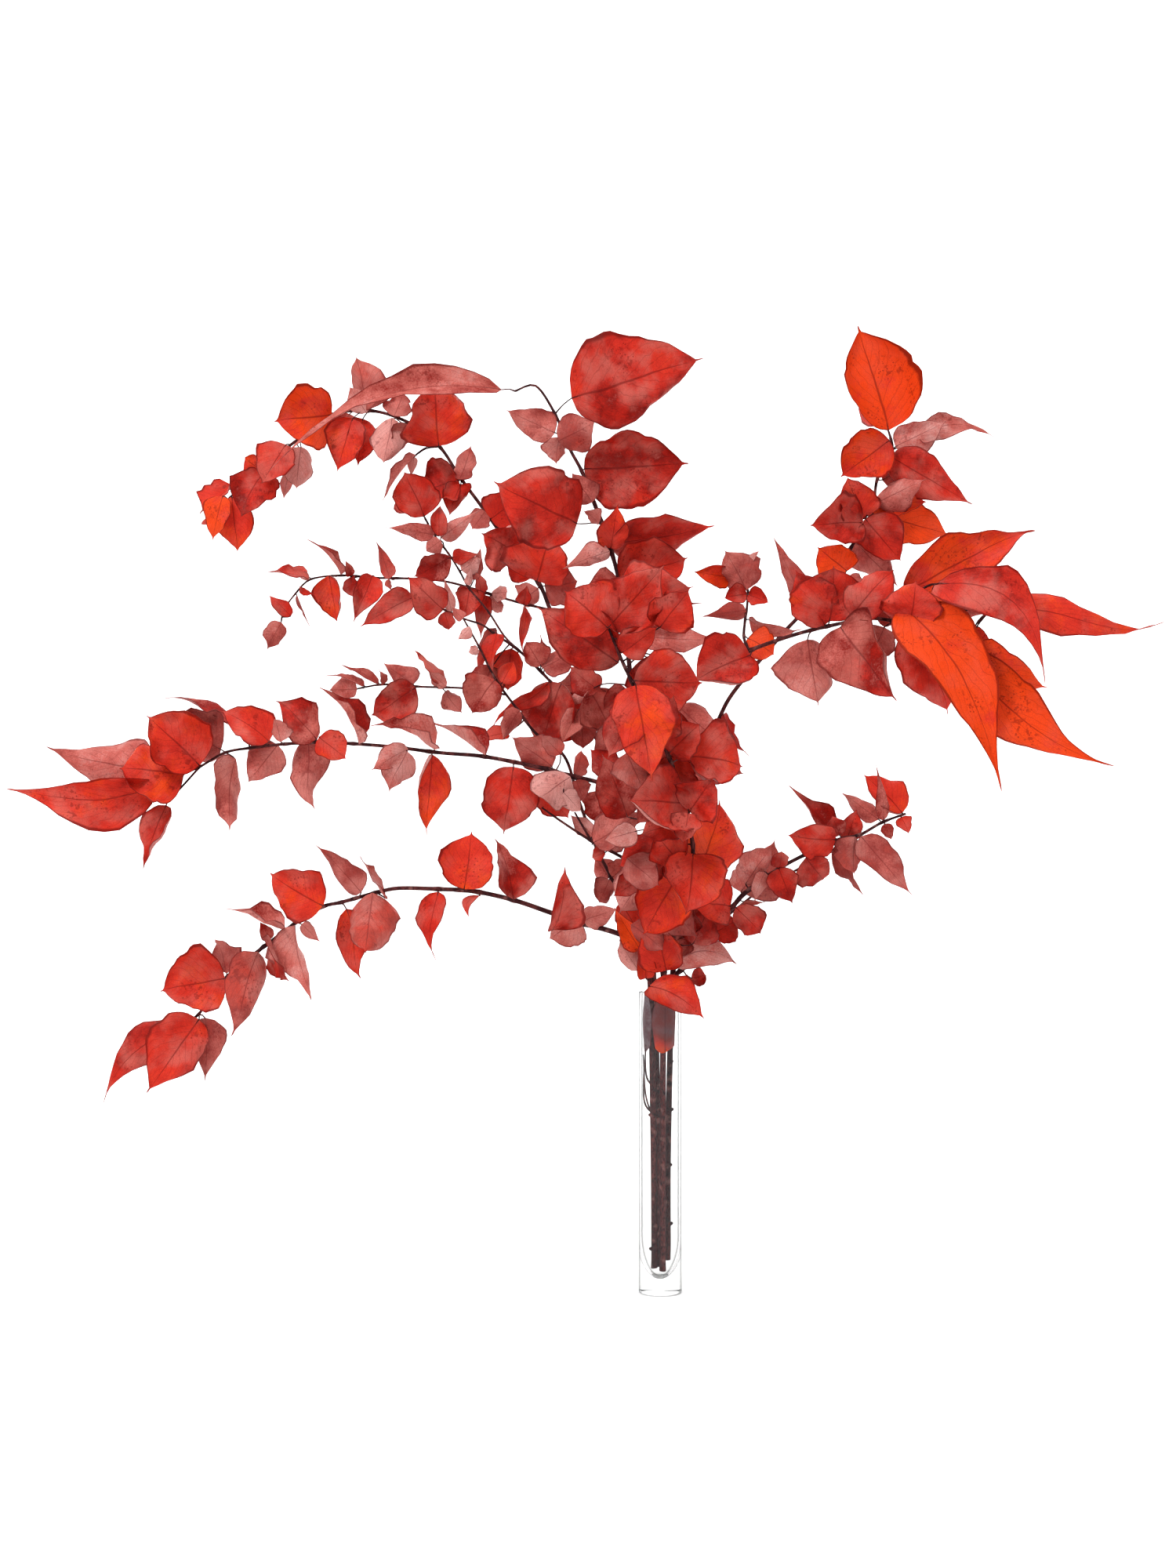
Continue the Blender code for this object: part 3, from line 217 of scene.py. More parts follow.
# Leaves of each stem: picture x and y of the blade's base and of its tip, the width in points as it shows,
# the turn about its length from facing the viewer in degrees, its tone from pale back (0) to lit orange (5),
# and then, where they matter, its twist in degrees, its sideways sweep over its length, and how far out it
# is held in mm. The tone holds dye and painted light and shade together: deep red is partly painted shade
# on shaded leaves, and orange partly painted light shining through lit ones.
LEFT_MID = [
    (236, 987, 152, 980, 88, 0, 4), (192, 985, 68, 957, 66, 180, 1, 20),
    (200, 1000, 18, 1007, 58, -20, 4, 40, -0.06), (255, 977, 190, 915, 72, 0, 4),
    (284, 957, 212, 924, 84, 165, 2), (300, 925, 216, 884, 20, 60, 2), (343, 946, 284, 908, 40, 30, 3),
    (300, 968, 293, 1056, 44, 150, 1, 40), (354, 950, 318, 996, 44, 170, 1),
    (358, 946, 350, 918, 24, 160, 1), (404, 943, 357, 892, 42, 20, 2, 40), (407, 940, 440, 967, 36, 0, 4),
    (392, 942, 398, 1030, 42, 150, 2, -50), (458, 948, 411, 880, 20, 65, 2),
    (212, 1027, 183, 1104, 42, 20, 3), (555, 955, 481, 921, 24, 60, 1),
    (520, 955, 475, 982, 26, 170, 1, 40), (519, 958, 497, 1008, 34, 170, 1, -40),
    (551, 962, 543, 1060, 46, 0, 5, 60), (620, 963, 554, 919, 18, 68, 2), (655, 978, 643, 1060, 66, 10, 3),
    (705, 978, 655, 942, 40, 170, 2), (727, 991, 688, 1018, 54, 180, 0), (692, 1002, 724, 1043, 38, 0, 4),
    (719, 1011, 740, 1034, 24, 180, 0), (733, 990, 742, 958, 22, 150, 2), (735, 995, 744, 1021, 28, 160, 2),
    (715, 962, 692, 938, 22, 160, 2), (772, 1010, 764, 1050, 40, 0, 2),
]
LEFT_LOW = [
    (740, 1173, 703, 1196, 56, 170, 1), (705, 1186, 720, 1110, 38, 20, 3),
    (745, 1174, 785, 1160, 28, 180, 1), (655, 1147, 632, 1074, 34, 40, 2), (592, 1134, 601, 1064, 62, 0, 5),
    (612, 1142, 600, 1171, 14, 30, 3, 0, 0.3), (559, 1137, 551, 1220, 26, 30, 4, 50),
    (492, 1146, 460, 1094, 12, 70, 2), (461, 1138, 406, 1081, 38, 150, 2),
    (475, 1140, 466, 1213, 62, 165, 3), (442, 1160, 458, 1245, 40, 0, 4, 30),
    (413, 1156, 346, 1116, 60, 0, 4), (380, 1173, 365, 1150, 16, 160, 1),
    (385, 1179, 407, 1200, 16, 160, 1), (363, 1184, 294, 1156, 18, 65, 1),
    (376, 1181, 396, 1271, 34, 155, 1, 50), (345, 1202, 366, 1250, 24, 60, 2),
    (344, 1199, 332, 1177, 14, 40, 2), (329, 1214, 298, 1318, 48, 160, 2, 40),
    (289, 1241, 276, 1198, 30, 150, 2), (288, 1248, 204, 1264, 76, 0, 4), (254, 1300, 190, 1390, 66, 0, 4),
    (236, 1306, 134, 1400, 50, 10, 3, 20, 0.12), (262, 1299, 262, 1374, 42, 170, 2),
]
BARE_TWIG = [
    (757, 1075, 817, 1036, 44, 160, 1, 0, 0, 16), (757, 1066, 728, 1040, 22, 180, 0),
    (775, 1086, 756, 1094, 18, 0, 3), (800, 1097, 828, 1072, 34, 0, 4),
]
THIN_LEFT = [
    (777, 1120, 760, 1096, 30, 170, 1), (777, 1122, 765, 1150, 30, 165, 2),
    (780, 1120, 803, 1100, 30, 0, 2), (632, 866, 604, 908, 50, 0, 2), (663, 905, 640, 942, 22, 150, 1),
    (648, 934, 610, 944, 22, 20, 4), (600, 800, 585, 815, 14, 180, 0), (611, 826, 598, 832, 12, 180, 0),
    (591, 790, 578, 776, 14, 170, 1), (640, 872, 655, 845, 24, 0, 4),
]
THIN_LEFT_TWIG = [
    (465, 875, 418, 861, 10, 50, 2), (455, 879, 422, 880, 26, 170, 1), (484, 872, 437, 850, 12, 50, 2),
    (490, 874, 484, 855, 8, 40, 2), (530, 875, 492, 848, 32, 160, 2), (531, 877, 476, 911, 46, 0, 2),
    (568, 874, 530, 830, 12, 60, 2), (570, 876, 549, 858, 16, 170, 1), (565, 878, 588, 908, 26, 160, 2, 30),
]
UPPER_LEFT = [
    (270, 664, 257, 668, 10, 40, 2), (284, 633, 271, 686, 34, 0, 5), (296, 634, 303, 700, 52, 0, 5),
    (298, 620, 258, 655, 24, 50, 4), (335, 600, 313, 584, 32, 0, 4), (338, 602, 309, 656, 54, 0, 3),
    (365, 567, 335, 615, 48, -10, 4), (384, 570, 378, 621, 44, 180, 0), (368, 602, 362, 635, 16, 180, 0),
    (423, 529, 350, 537, 84, 0, 5), (467, 523, 455, 459, 50, 160, 2, 50), (467, 526, 447, 495, 28, 170, 0),
    (500, 534, 490, 587, 44, 175, 0), (503, 531, 514, 502, 36, 160, 2), (520, 541, 506, 575, 30, 160, 2),
    (450, 534, 431, 597, 48, 0, 4), (463, 534, 457, 590, 40, 0, 4), (446, 528, 428, 568, 40, 20, 2),
    (560, 570, 553, 485, 86, 0, 4), (530, 580, 490, 635, 16, 62, 2), (528, 583, 524, 606, 12, 180, 0),
    (586, 612, 600, 571, 34, 150, 2), (584, 613, 543, 628, 60, 0, 3), (588, 618, 574, 653, 36, 0, 3),
    (619, 652, 603, 674, 26, 180, 1), (660, 706, 618, 682, 62, 0, 3), (626, 662, 662, 634, 46, 0, 4),
    (685, 741, 702, 682, 84, 0, 4), (678, 737, 652, 712, 46, 0, 4), (688, 749, 665, 768, 34, 180, 1),
    (691, 748, 735, 742, 54, 165, 2), (752, 872, 708, 876, 36, 160, 2), (786, 998, 768, 962, 22, 20, 3),
]
UPPER_LEFT_TWIG = [
    (359, 793, 340, 827, 22, 160, 2), (371, 786, 345, 761, 20, 20, 3), (396, 739, 343, 730, 14, 50, 3),
    (396, 737, 366, 727, 9, 170, 1), (381, 751, 401, 757, 8, 40, 3), (378, 758, 393, 796, 5, 70, 1),
    (436, 734, 395, 689, 10, 62, 3), (420, 735, 430, 789, 38, 15, 4, 30), (447, 735, 441, 716, 10, 40, 2),
    (447, 736, 452, 762, 16, 40, 2), (475, 734, 452, 790, 34, 0, 3), (478, 739, 478, 762, 14, 175, 1),
    (497, 738, 481, 692, 18, 155, 2), (496, 739, 499, 753, 6, 150, 2), (599, 751, 592, 786, 36, 0, 3),
    (614, 757, 609, 730, 16, 0, 3), (614, 758, 613, 812, 22, 0, 3, 30), (624, 757, 647, 755, 20, 180, 0),
    (625, 759, 640, 781, 18, 180, 0), (669, 771, 672, 748, 18, 0, 3), (669, 773, 666, 829, 20, 0, 4, 60),
]
MIDDLE_TWIG = [
    (528, 762, 463, 797, 38, 0, 3), (566, 778, 523, 738, 46, 0, 3), (567, 780, 573, 803, 20, 0, 3),
    (576, 781, 567, 738, 14, 180, 0), (632, 801, 608, 862, 18, 150, 2, 20), (634, 808, 627, 862, 22, 20, 3),
    (652, 828, 648, 878, 44, 0, 4), (662, 830, 620, 905, 20, 150, 2, 90),
    (700, 870, 628, 928, 20, 0, 4, 100), (694, 853, 689, 811, 18, 155, 2), (692, 852, 731, 833, 36, 165, 2),
    (690, 849, 672, 820, 34, 20, 2), (716, 872, 690, 953, 62, 0, 2),
    (728, 884, 776, 904, 46, 0, 3, 0, 0, -10), (628, 850, 600, 900, 40, 0, 2),
    (736, 909, 716, 946, 34, 0, 3), (741, 910, 744, 953, 40, 165, 2), (742, 906, 783, 900, 36, 0, 3),
    (728, 895, 758, 880, 14, 180, 0),
]
MIDDLE_SIDE_TWIG = [
    (541, 658, 517, 605, 54, 0, 3), (554, 682, 495, 673, 20, 150, 1), (560, 684, 561, 645, 22, 0, 3),
    (562, 686, 612, 650, 22, 180, 0), (562, 689, 544, 703, 20, 160, 1), (574, 711, 530, 735, 34, 0, 2),
    (577, 711, 609, 707, 18, 0, 3), (588, 728, 612, 713, 22, 180, 0), (604, 740, 613, 697, 16, 160, 2),
    (598, 748, 601, 726, 10, 180, 0),
]
CENTRE_BACK = [
    (841, 1340, 840, 1270, 30, 0, 1, 0, 0, 3), (852, 1332, 853, 1270, 24, 0, 1),
    (640, 497, 396, 586, 28, 50, 1, 40, 0.095), (729, 508, 898, 457, 108, 0, 3),
    (743, 598, 879, 591, 104, 0, 3), (780, 693, 890, 676, 54, 20, 3), (708, 552, 656, 527, 34, 165, 1),
    (714, 558, 710, 586, 24, 165, 1), (713, 563, 750, 542, 40, 160, 2), (736, 668, 632, 617, 100, -15, 3),
    (755, 640, 734, 610, 28, 160, 2), (764, 668, 748, 655, 14, 150, 2), (779, 700, 786, 655, 32, 0, 5),
    (777, 703, 728, 722, 24, 170, 1), (790, 738, 878, 712, 84, 0, 4), (790, 768, 868, 752, 66, 0, 3),
    (789, 750, 758, 745, 38, 0, 2), (797, 765, 868, 778, 50, 0, 2), (800, 758, 880, 768, 9, 60, 2),
    (812, 812, 906, 815, 30, 175, 1), (848, 1092, 800, 1152, 56, 180, 1, 0, 0, 30),
    (846, 1096, 797, 1075, 34, 0, 3), (850, 1238, 834, 1176, 46, 0, 4, 0, 0, 12),
    (858, 1222, 856, 1186, 40, 0, 2), (752, 880, 776, 924, 46, 0, 2),
    (828, 1258, 886, 1292, 42, 0, 4, 0, -0.08, 14),
]
CENTRE_FRONT = [
    (775, 801, 730, 762, 64, 0, 4), (776, 800, 834, 735, 56, 0, 3), (788, 845, 702, 786, 62, 15, 3),
    (792, 833, 830, 806, 34, 0, 4), (807, 868, 880, 870, 64, 0, 3), (811, 874, 832, 996, 76, 0, 5),
    (848, 940, 858, 896, 32, 0, 3), (853, 965, 862, 1011, 54, 0, 3), (853, 961, 886, 930, 42, 0, 3),
    (873, 1024, 800, 1022, 84, 0, 3), (866, 1052, 826, 1062, 40, 0, 3), (878, 1037, 872, 1068, 28, 0, 3),
    (880, 1036, 904, 1000, 46, 0, 3), (846, 900, 872, 994, 58, 0, 3), (880, 965, 936, 975, 62, 0, 3),
    (868, 1100, 842, 1070, 42, 0, 3), (862, 1200, 850, 1150, 50, 0, 2), (884, 1204, 902, 1160, 42, 0, 2),
    (800, 1042, 774, 976, 44, 0, 2, 0, 0, -30), (846, 1080, 800, 1100, 46, 0, 3, 0, 0, -14),
    (812, 905, 782, 955, 44, 0, 3), (830, 835, 852, 895, 56, 0, 3, 0, 0, -12),
    (842, 800, 872, 762, 46, 0, 3), (884, 1090, 876, 1153, 64, 0, 4), (864, 1118, 828, 1180, 58, 0, 5),
    (892, 1112, 915, 1037, 60, 0, 5),
]
RIGHT = [
    (957, 836, 886, 867, 78, 0, 3), (1030, 816, 1044, 900, 76, 175, 1), (1072, 800, 1143, 894, 82, 0, 2),
    (1058, 792, 1064, 722, 84, 0, 3), (1052, 798, 1016, 730, 56, 0, 3), (1086, 786, 1138, 728, 56, 0, 3),
    (1128, 800, 1110, 840, 40, 180, 1), (1138, 797, 1115, 753, 26, 170, 1),
    (1160, 796, 1168, 745, 66, 0, 4), (1153, 756, 1317, 674, 70, 0, 4),
    (1192, 746, 1323, 866, 58, 20, 3, 0, -0.26), (1198, 752, 1268, 772, 34, 0, 4),
    (1186, 776, 1274, 779, 24, 170, 1), (1262, 779, 1474, 803, 48, 0, 4, 150),
    (1154, 776, 1276, 1012, 82, 0, 5, 0, -0.05), (866, 901, 929, 957, 42, 180, 1),
    (892, 1000, 888, 1024, 18, 180, 0),
]
RIGHT_TIP = [
    (1156, 806, 1214, 912, 78, 0, 3), (1204, 812, 1266, 822, 36, 0, 4),
    (1238, 832, 1333, 875, 54, 0, 5, 0, 0.06), (1232, 844, 1413, 971, 66, 10, 5, 0, 0.1),
]
UPPER_RIGHT = [
    (1133, 548, 1093, 416, 104, 0, 5), (1142, 570, 1204, 540, 44, 170, 1),
    (1172, 560, 1266, 557, 34, 170, 1, 0, -0.2), (1136, 582, 1236, 641, 60, 0, 3, 20),
    (1126, 612, 1180, 582, 44, 170, 1), (1118, 642, 1178, 612, 40, 165, 1),
    (1134, 562, 1075, 606, 66, 0, 4), (1119, 606, 1131, 572, 22, 160, 1), (1100, 667, 1036, 670, 66, 0, 3),
    (1100, 662, 1082, 612, 50, 0, 4), (1112, 655, 1208, 681, 64, 10, 5), (1117, 652, 1180, 640, 40, 0, 4),
    (1104, 662, 1147, 713, 58, 0, 3), (1026, 770, 987, 686, 22, 155, 2, 30),
    (1080, 728, 1045, 700, 60, 0, 5), (1082, 735, 1106, 757, 22, 160, 3),
    (1092, 692, 1143, 745, 46, 170, 2), (922, 911, 950, 964, 12, 60, 2), (880, 965, 944, 986, 56, 0, 2),
]
RIGHT_SHOOT = [
    (952, 752, 927, 704, 44, 165, 2), (930, 736, 887, 730, 30, 0, 5), (954, 716, 968, 703, 9, 170, 0),
    (953, 758, 925, 762, 24, 0, 3), (954, 758, 979, 768, 22, 0, 3), (953, 778, 898, 786, 22, 160, 2),
    (955, 790, 1020, 803, 13, 60, 1), (950, 812, 986, 834, 42, 0, 5), (948, 826, 907, 812, 16, 170, 1),
]
RIGHT_LOW = [
    (945, 1138, 988, 1077, 54, 165, 1), (975, 1112, 962, 1149, 20, 175, 1),
    (993, 1107, 1010, 1150, 34, 0, 3), (994, 1108, 997, 1086, 22, 0, 2), (947, 1150, 975, 1152, 6, 60, 2),
    (1066, 1071, 1008, 1066, 48, 0, 3), (1064, 1068, 1008, 1005, 26, 30, 2),
    (1072, 1068, 1062, 1042, 26, 0, 2), (1080, 1070, 1092, 1035, 30, 0, 3),
    (1026, 1091, 1050, 1122, 44, 0, 2), (1066, 1077, 1100, 1139, 30, 160, 2),
    (1090, 1067, 1088, 1113, 36, 165, 2), (1097, 1066, 1162, 1141, 42, 165, 2),
    (1122, 1046, 1075, 1012, 24, 165, 1), (1127, 1048, 1117, 977, 16, 30, 2),
    (1128, 1050, 1137, 1070, 14, 30, 2), (1152, 1038, 1104, 990, 46, 0, 4),
    (1149, 1041, 1159, 1062, 18, 0, 3), (938, 1157, 970, 1190, 36, 0, 3), (932, 1156, 884, 1152, 52, 0, 4),
    (908, 1192, 938, 1174, 38, 0, 3), (912, 1176, 880, 1166, 10, 60, 0),
    (862, 1228, 936, 1230, 44, 165, 1, 0, -0.2, 10), (882, 1248, 900, 1244, 22, 0, 2),
]
VASE_MOUTH = [
    (817, 1212, 785, 1160, 28, 0, 5), (815, 1238, 790, 1198, 22, 180, 0), (824, 1248, 818, 1206, 24, 0, 4),
    (829, 1268, 825, 1335, 15, 180, 1),
]

# Each branch that was cut: its stems, the root stem first, each with its leaves.
BRANCHES = {
    "stem_left": [
        (LEFT_STEM, LEFT_LOW + VASE_MOUTH), (LEFT_MID_STEM, LEFT_MID), (LEFT_MID_TIP, []),
        (BARE_STEM, BARE_TWIG), (BARE_SIDE, []), (VASE_TWIG, []),
    ],
    "stem_upper_left": [
        (ARCH_STEM, UPPER_LEFT), (ARCH_TWIG, UPPER_LEFT_TWIG), (MIDDLE_STEM, MIDDLE_TWIG),
        (MIDDLE_SIDE, MIDDLE_SIDE_TWIG), (THIN_STEM, THIN_LEFT), (THIN_SIDE, THIN_LEFT_TWIG),
    ],
    "stem_centre": [(CENTRE_STEM, CENTRE_BACK), (FRONT_STEM, CENTRE_FRONT)],
    "stem_right": [
        (RIGHT_STEM, RIGHT), (RIGHT_SPRAY, RIGHT_TIP), (UPPER_RIGHT_STEM, UPPER_RIGHT),
        (RIGHT_SHOOT_STEM, RIGHT_SHOOT), (RIGHT_LOW_STEM, RIGHT_LOW), (RIGHT_LOW_TWIN, []),
    ],
}

# Small leaves deep in the middle of the bunch, on the tall stem and on the one in front of it.
INFILL = [
    [
        (788, 925, 758, 985, 40, 175, 2), (786, 990, 752, 955, 34, 0, 2), (764, 880, 726, 850, 36, 0, 2),
        (800, 880, 770, 905, 34, 0, 2), (792, 1150, 822, 1205, 34, 0, 4), (800, 1010, 762, 1040, 34, 0, 1),
        (738, 905, 716, 948, 30, 0, 1), (780, 940, 806, 900, 34, 0, 2),
    ],
    [
        (800, 960, 822, 1010, 44, 180, 2), (812, 1060, 770, 1072, 30, 10, 1),
        (800, 1095, 842, 1130, 44, 180, 2), (806, 1180, 846, 1212, 40, 180, 2),
        (852, 1150, 890, 1196, 44, 170, 2), (820, 1120, 784, 1142, 34, 0, 2),
        (836, 1010, 812, 1052, 36, 0, 2), (858, 1090, 880, 1130, 34, 0, 3),
    ],
]
# Broken-off twigs on the root stems: their height in the tube, and which way they point.
STUBS = {
    "stem_left": [(0.036, -1.3), (0.094, 0.4), (0.147, -0.9)],
    "stem_upper_left": [(0.062, -1.2), (0.167, -1.4), (0.21, 0.3)],
    "stem_centre": [(0.056, 0.5), (0.119, -0.4), (0.151, -1.5)],
    "stem_right": [(0.055, 1.4), (0.104, 0.9), (0.15, 1.1), (0.19, 0.5)],
}
# The leaves pushed down into the neck: middle turn, half the turn round the wall, foot, top and tone.
NECK_LEAVES = [(-0.94, 0.40, 0.2005, 0.249, 0.3), (0.26, 0.76, 0.2, 0.2515, 1.5)]

SLOTS = {
    "stem_left": "dyed_leaf_left", "stem_upper_left": "dyed_leaf_upper_left",
    "stem_centre": "dyed_leaf_centre", "stem_right": "dyed_leaf_right",
}


def place(x, y, depth):
    """Put a picture point at a depth, in metres, behind the vase's axis."""
    size = POINT_SIZE * (VIEW_DISTANCE + depth) / VIEW_DISTANCE
    return Vector((
        (x - VIEW_CENTRE[0]) * size + (VIEW_CENTRE[0] - VASE_FOOT[0]) * POINT_SIZE,
        depth,
        (VIEW_CENTRE[1] - y) * size + (VASE_FOOT[1] - VIEW_CENTRE[1]) * POINT_SIZE,
    ))


def bowl_floor(radius):
    """Height of the glass floor at a distance from the axis."""
    share = min(radius / (VASE_RADIUS - VASE_WALL), 1.0)
    return VASE_FLOOR + BOWL_HEIGHT * (1.0 - math.sqrt(1.0 - share * share))


def bowl_outline():
    """The rings of the glass floor, from the wall to the axis, as distance from the axis and height."""
    inner = VASE_RADIUS - VASE_WALL
    radii = [inner * math.cos(math.pi / 2.0 * step / BOWL_STEPS) for step in range(BOWL_STEPS)] + [0.0]
    return [(radius, bowl_floor(radius)) for radius in radii]


def glass_floor(reach):
    """Height of the faceted floor at a distance from the axis."""
    rings = bowl_outline()
    for (outer, high), (inner, low) in zip(rings, rings[1:]):
        if inner <= reach <= outer:
            return low + (high - low) * (reach - inner) / (outer - inner)
    return rings[0][1]


def stem_path(route):
    """Turn a route into points and radii in metres; a root stem ends just above the glass floor."""
    path = []
    for x, y, depth, radius in route:
        spread = DEPTH_SPREAD if 0 < y < VASE_MOUTH_Y else 1.0
        point = place(x, y or VASE_FOOT[1], depth * spread / 1000.0)
        if not y:
            reach = math.hypot(point.x, point.y) + radius / 1000.0
            point.z = glass_floor(reach) + SEAT_GAP
        path.append((point, radius / 1000.0))
    return path


def across(direction, guide):
    """The part of guide that is square to direction, as a unit vector."""
    rest = guide - direction * guide.dot(direction)
    if rest.length < 1e-6:
        rest = direction.orthogonal()
    return rest.normalized()


def tube_mesh(path, sides):
    """A closed tube along a path of points and radii."""
    points, faces = [], []
    count = len(path)
    guide = Vector((0.0, -1.0, 0.0))
    for index, (point, radius) in enumerate(path):
        before = path[max(index - 1, 0)][0]
        after = path[min(index + 1, count - 1)][0]
        direction = (after - before).normalized()
        if index == 0 and abs(direction.z) > 0.9:
            direction = Vector((0.0, 0.0, 1.0))
        guide = across(direction, guide)
        side = direction.cross(guide)
        for step in range(sides):
            angle = math.tau * step / sides
            points.append(point + guide * (radius * math.cos(angle)) + side * (radius * math.sin(angle)))
    for index in range(count - 1):
        for step in range(sides):
            a = index * sides + step
            b = index * sides + (step + 1) % sides
            faces.append((a, b, b + sides))
            faces.append((a, b + sides, a + sides))
    for step in range(1, sides - 1):
        faces.append((0, step + 1, step))
        last = (count - 1) * sides
        faces.append((last, last + step, last + step + 1))
    return points, faces


class Leaf:
    """One blade on its petiole; the blade is a function of u along it and v across it."""

    def __init__(self, row, path, thickness, chance, rear=False):
        base_x, base_y, tip_x, tip_y, width, turn, tone, *rest = row
        rest = rest + [0.0] * (3 - len(rest))
        self.row = row
        self.rear = rear
        self.thickness = thickness
        self.turn = math.radians(turn + chance.uniform(-TURN_SPREAD, TURN_SPREAD))
        self.twist = math.radians(rest[0] + chance.uniform(-TWIST_SPREAD, TWIST_SPREAD))
        self.sweep = rest[1]
        self.out = rest[2] / 1000.0
        self.width = width * WIDTH_GAIN * POINT_SIZE / max(abs(math.cos(self.turn)), 0.42)
        self.size = width
        self.path = path
        self.lean = chance.uniform(-0.6, 0.35) if not rear else chance.uniform(0.0, 0.5)
        self.bend = chance.uniform(0.0, 0.12)
        self.fold = math.radians(chance.uniform(4.0, 22.0))
        self.ripple = chance.uniform(0.04, 0.12) * self.width
        self.waves = chance.uniform(0.8, 1.9)
        self.phase = chance.uniform(0.0, math.tau)
        self.uneven = chance.uniform(-0.12, 0.12)
        slimness = math.hypot(tip_x - base_x, tip_y - base_y) / max(width, 1.0)
        self.tip_power = min(0.72 + 0.45 * max(slimness - 1.0, 0.0), 1.45)
        self.depth = -0.003 if not rear else 0.024
        self.shift(0.0, 0.0)

    def shift(self, depth, lean):
        """Set the leaf's places after moving it back by depth and leaning its tip back by lean."""
        base_x, base_y, tip_x, tip_y = self.row[:4]
        flat = place(base_x, base_y, 0.0)
        nearest, distance = None, 1e9
        for (start, _), (end, _) in zip(self.path, self.path[1:]):
            line = Vector((end.x - start.x, 0.0, end.z - start.z))
            share = (flat - start).dot(line) / max(line.length_squared, 1e-12)
            share = min(max(share, 0.0), 1.0)
            spot = start.lerp(end, share)
            seen = place(base_x, base_y, spot.y)
            away = math.hypot(spot.x - seen.x, spot.z - seen.z)
            if away < distance:
                nearest, distance = spot, away
        self.root = nearest
        base_depth = nearest.y + self.depth - self.out + depth
        self.base = place(base_x, base_y, base_depth)
        flat_length = math.hypot(tip_x - base_x, tip_y - base_y) * POINT_SIZE
        tip_depth = base_depth + (self.lean + lean) * flat_length
        self.tip = place(tip_x, tip_y, tip_depth)
        axis = (self.tip - self.base).normalized()
        if (self.base - self.root).length < 0.004:
            self.base = self.base + axis * (0.004 - (self.base - self.root).length)
        self.axis = (self.tip - self.base).normalized()
        self.length = (self.tip - self.base).length
        self.face = across(self.axis, Vector((0.0, -1.0, 0.0)))
        self.side = self.axis.cross(self.face)

    def frame(self, u):
        """Centre, side and facing direction of the blade at u."""
        angle = self.turn + self.twist * (u - 0.5)
        facing = self.face * math.cos(angle) + self.side * math.sin(angle)
        side = self.side * math.cos(angle) - self.face * math.sin(angle)
        arch = 4.0 * u * (1.0 - u) * self.length
        centre = self.base + self.axis * (self.length * u) + self.side * (self.sweep * arch)
        return centre + facing * (self.bend * arch), side, facing

    def half_width(self, u, v=0.0):
        """The blade's reach at u on one side: round near the base, drawn in to where the drip tip starts."""
        t = min(u / BODY_SHARE, 1.0)
        peak = BASE_POWER / (BASE_POWER + self.tip_power)
        top = peak ** BASE_POWER * (1.0 - peak) ** self.tip_power
        edge = 1.0 + self.uneven * v + 0.09 * math.sin(math.tau * 1.4 * u + self.phase * (2.0 + v)) * abs(v)
        return 0.5 * self.width * edge * t ** BASE_POWER * (1.0 - t) ** self.tip_power / top

    def point(self, u, v, lift):
        """A point at u along and v across, from -1 to 1, at a height over the middle of the thickness."""
        centre, side, facing = self.frame(u)
        reach = self.half_width(u, max(min(v, 1.0), -1.0)) * v
        wave = math.sin(math.tau * self.waves * u + self.phase + (2.1 if v > 0.0 else 0.0))
        lift += self.ripple * wave * abs(v) ** 1.6 * math.sin(math.pi * u) + abs(reach) * math.sin(self.fold)
        return centre + side * (reach * math.cos(self.fold)) + facing * lift

    def stations(self):
        """Where the plain blade has its rings, from base to tip."""
        if self.size > 94 and not self.rear:
            return (0.08, 0.30, 0.58, 0.82)
        if self.size > 64 and not self.rear:
            return (0.12, 0.42, 0.74)
        if self.size > 13:
            return (0.22, 0.66)
        return (0.4,)

    def mesh(self, grow, bare=False):
        """The petiole and blade, or the bare blade, as one closed skin of triangles grown by a margin."""
        half = self.thickness / 2.0 + grow
        radius = PETIOLE_RADIUS + grow
        lines = (-1.0, 1.0) if self.size < 54 else (-1.0, 0.0, 1.0)
        _, side, facing = self.frame(0.0)
        stalk = (self.base - self.root).normalized()
        joint = stalk + self.axis
        joint = joint.normalized() if joint.length > 0.3 else self.axis
        points, rings = [], []
        root = self.base - stalk * 0.0008 if bare else self.root
        for centre, direction in ((root, stalk), (self.base, joint)):
            up = across(direction, facing)
            right = direction.cross(up)
            points += [centre - right * radius + up * (0.5 * radius), centre + right * radius
                       + up * (0.5 * radius), centre - up * radius]
            start = len(points) - 3
            rings.append(([start, start + 1], [start + 2]))
        for u in self.stations():
            start = len(points)
            spread = 1.0 + grow / max(self.half_width(u), 1e-6)
            points += [self.point(u, v * spread, half) for v in lines]
            points += [self.point(u, v * spread, -half) for v in lines]
            count = len(lines)
            rings.append((list(range(start, start + count)), list(range(start + count, start + 2 * count))))
        points.append(self.point(1.0, 0.0, 0.0) + self.axis * grow)
        return points, leaf_faces(rings, len(points) - 1)


def strip(lower, upper):
    """Triangles between two rows of points that run the same way; rows may differ in count."""
    faces = []
    if len(lower) == len(upper):
        for a, b, c, d in zip(lower, lower[1:], upper[1:], upper):
            faces += [(a, b, c), (a, c, d)]
    elif len(lower) == 1:
        faces += [(lower[0], b, a) for a, b in zip(upper, upper[1:])]
    elif len(lower) == 2 and len(upper) == 3:
        faces += [(lower[0], lower[1], upper[1]), (lower[0], upper[1], upper[0]),
                  (lower[1], upper[2], upper[1])]
    return faces


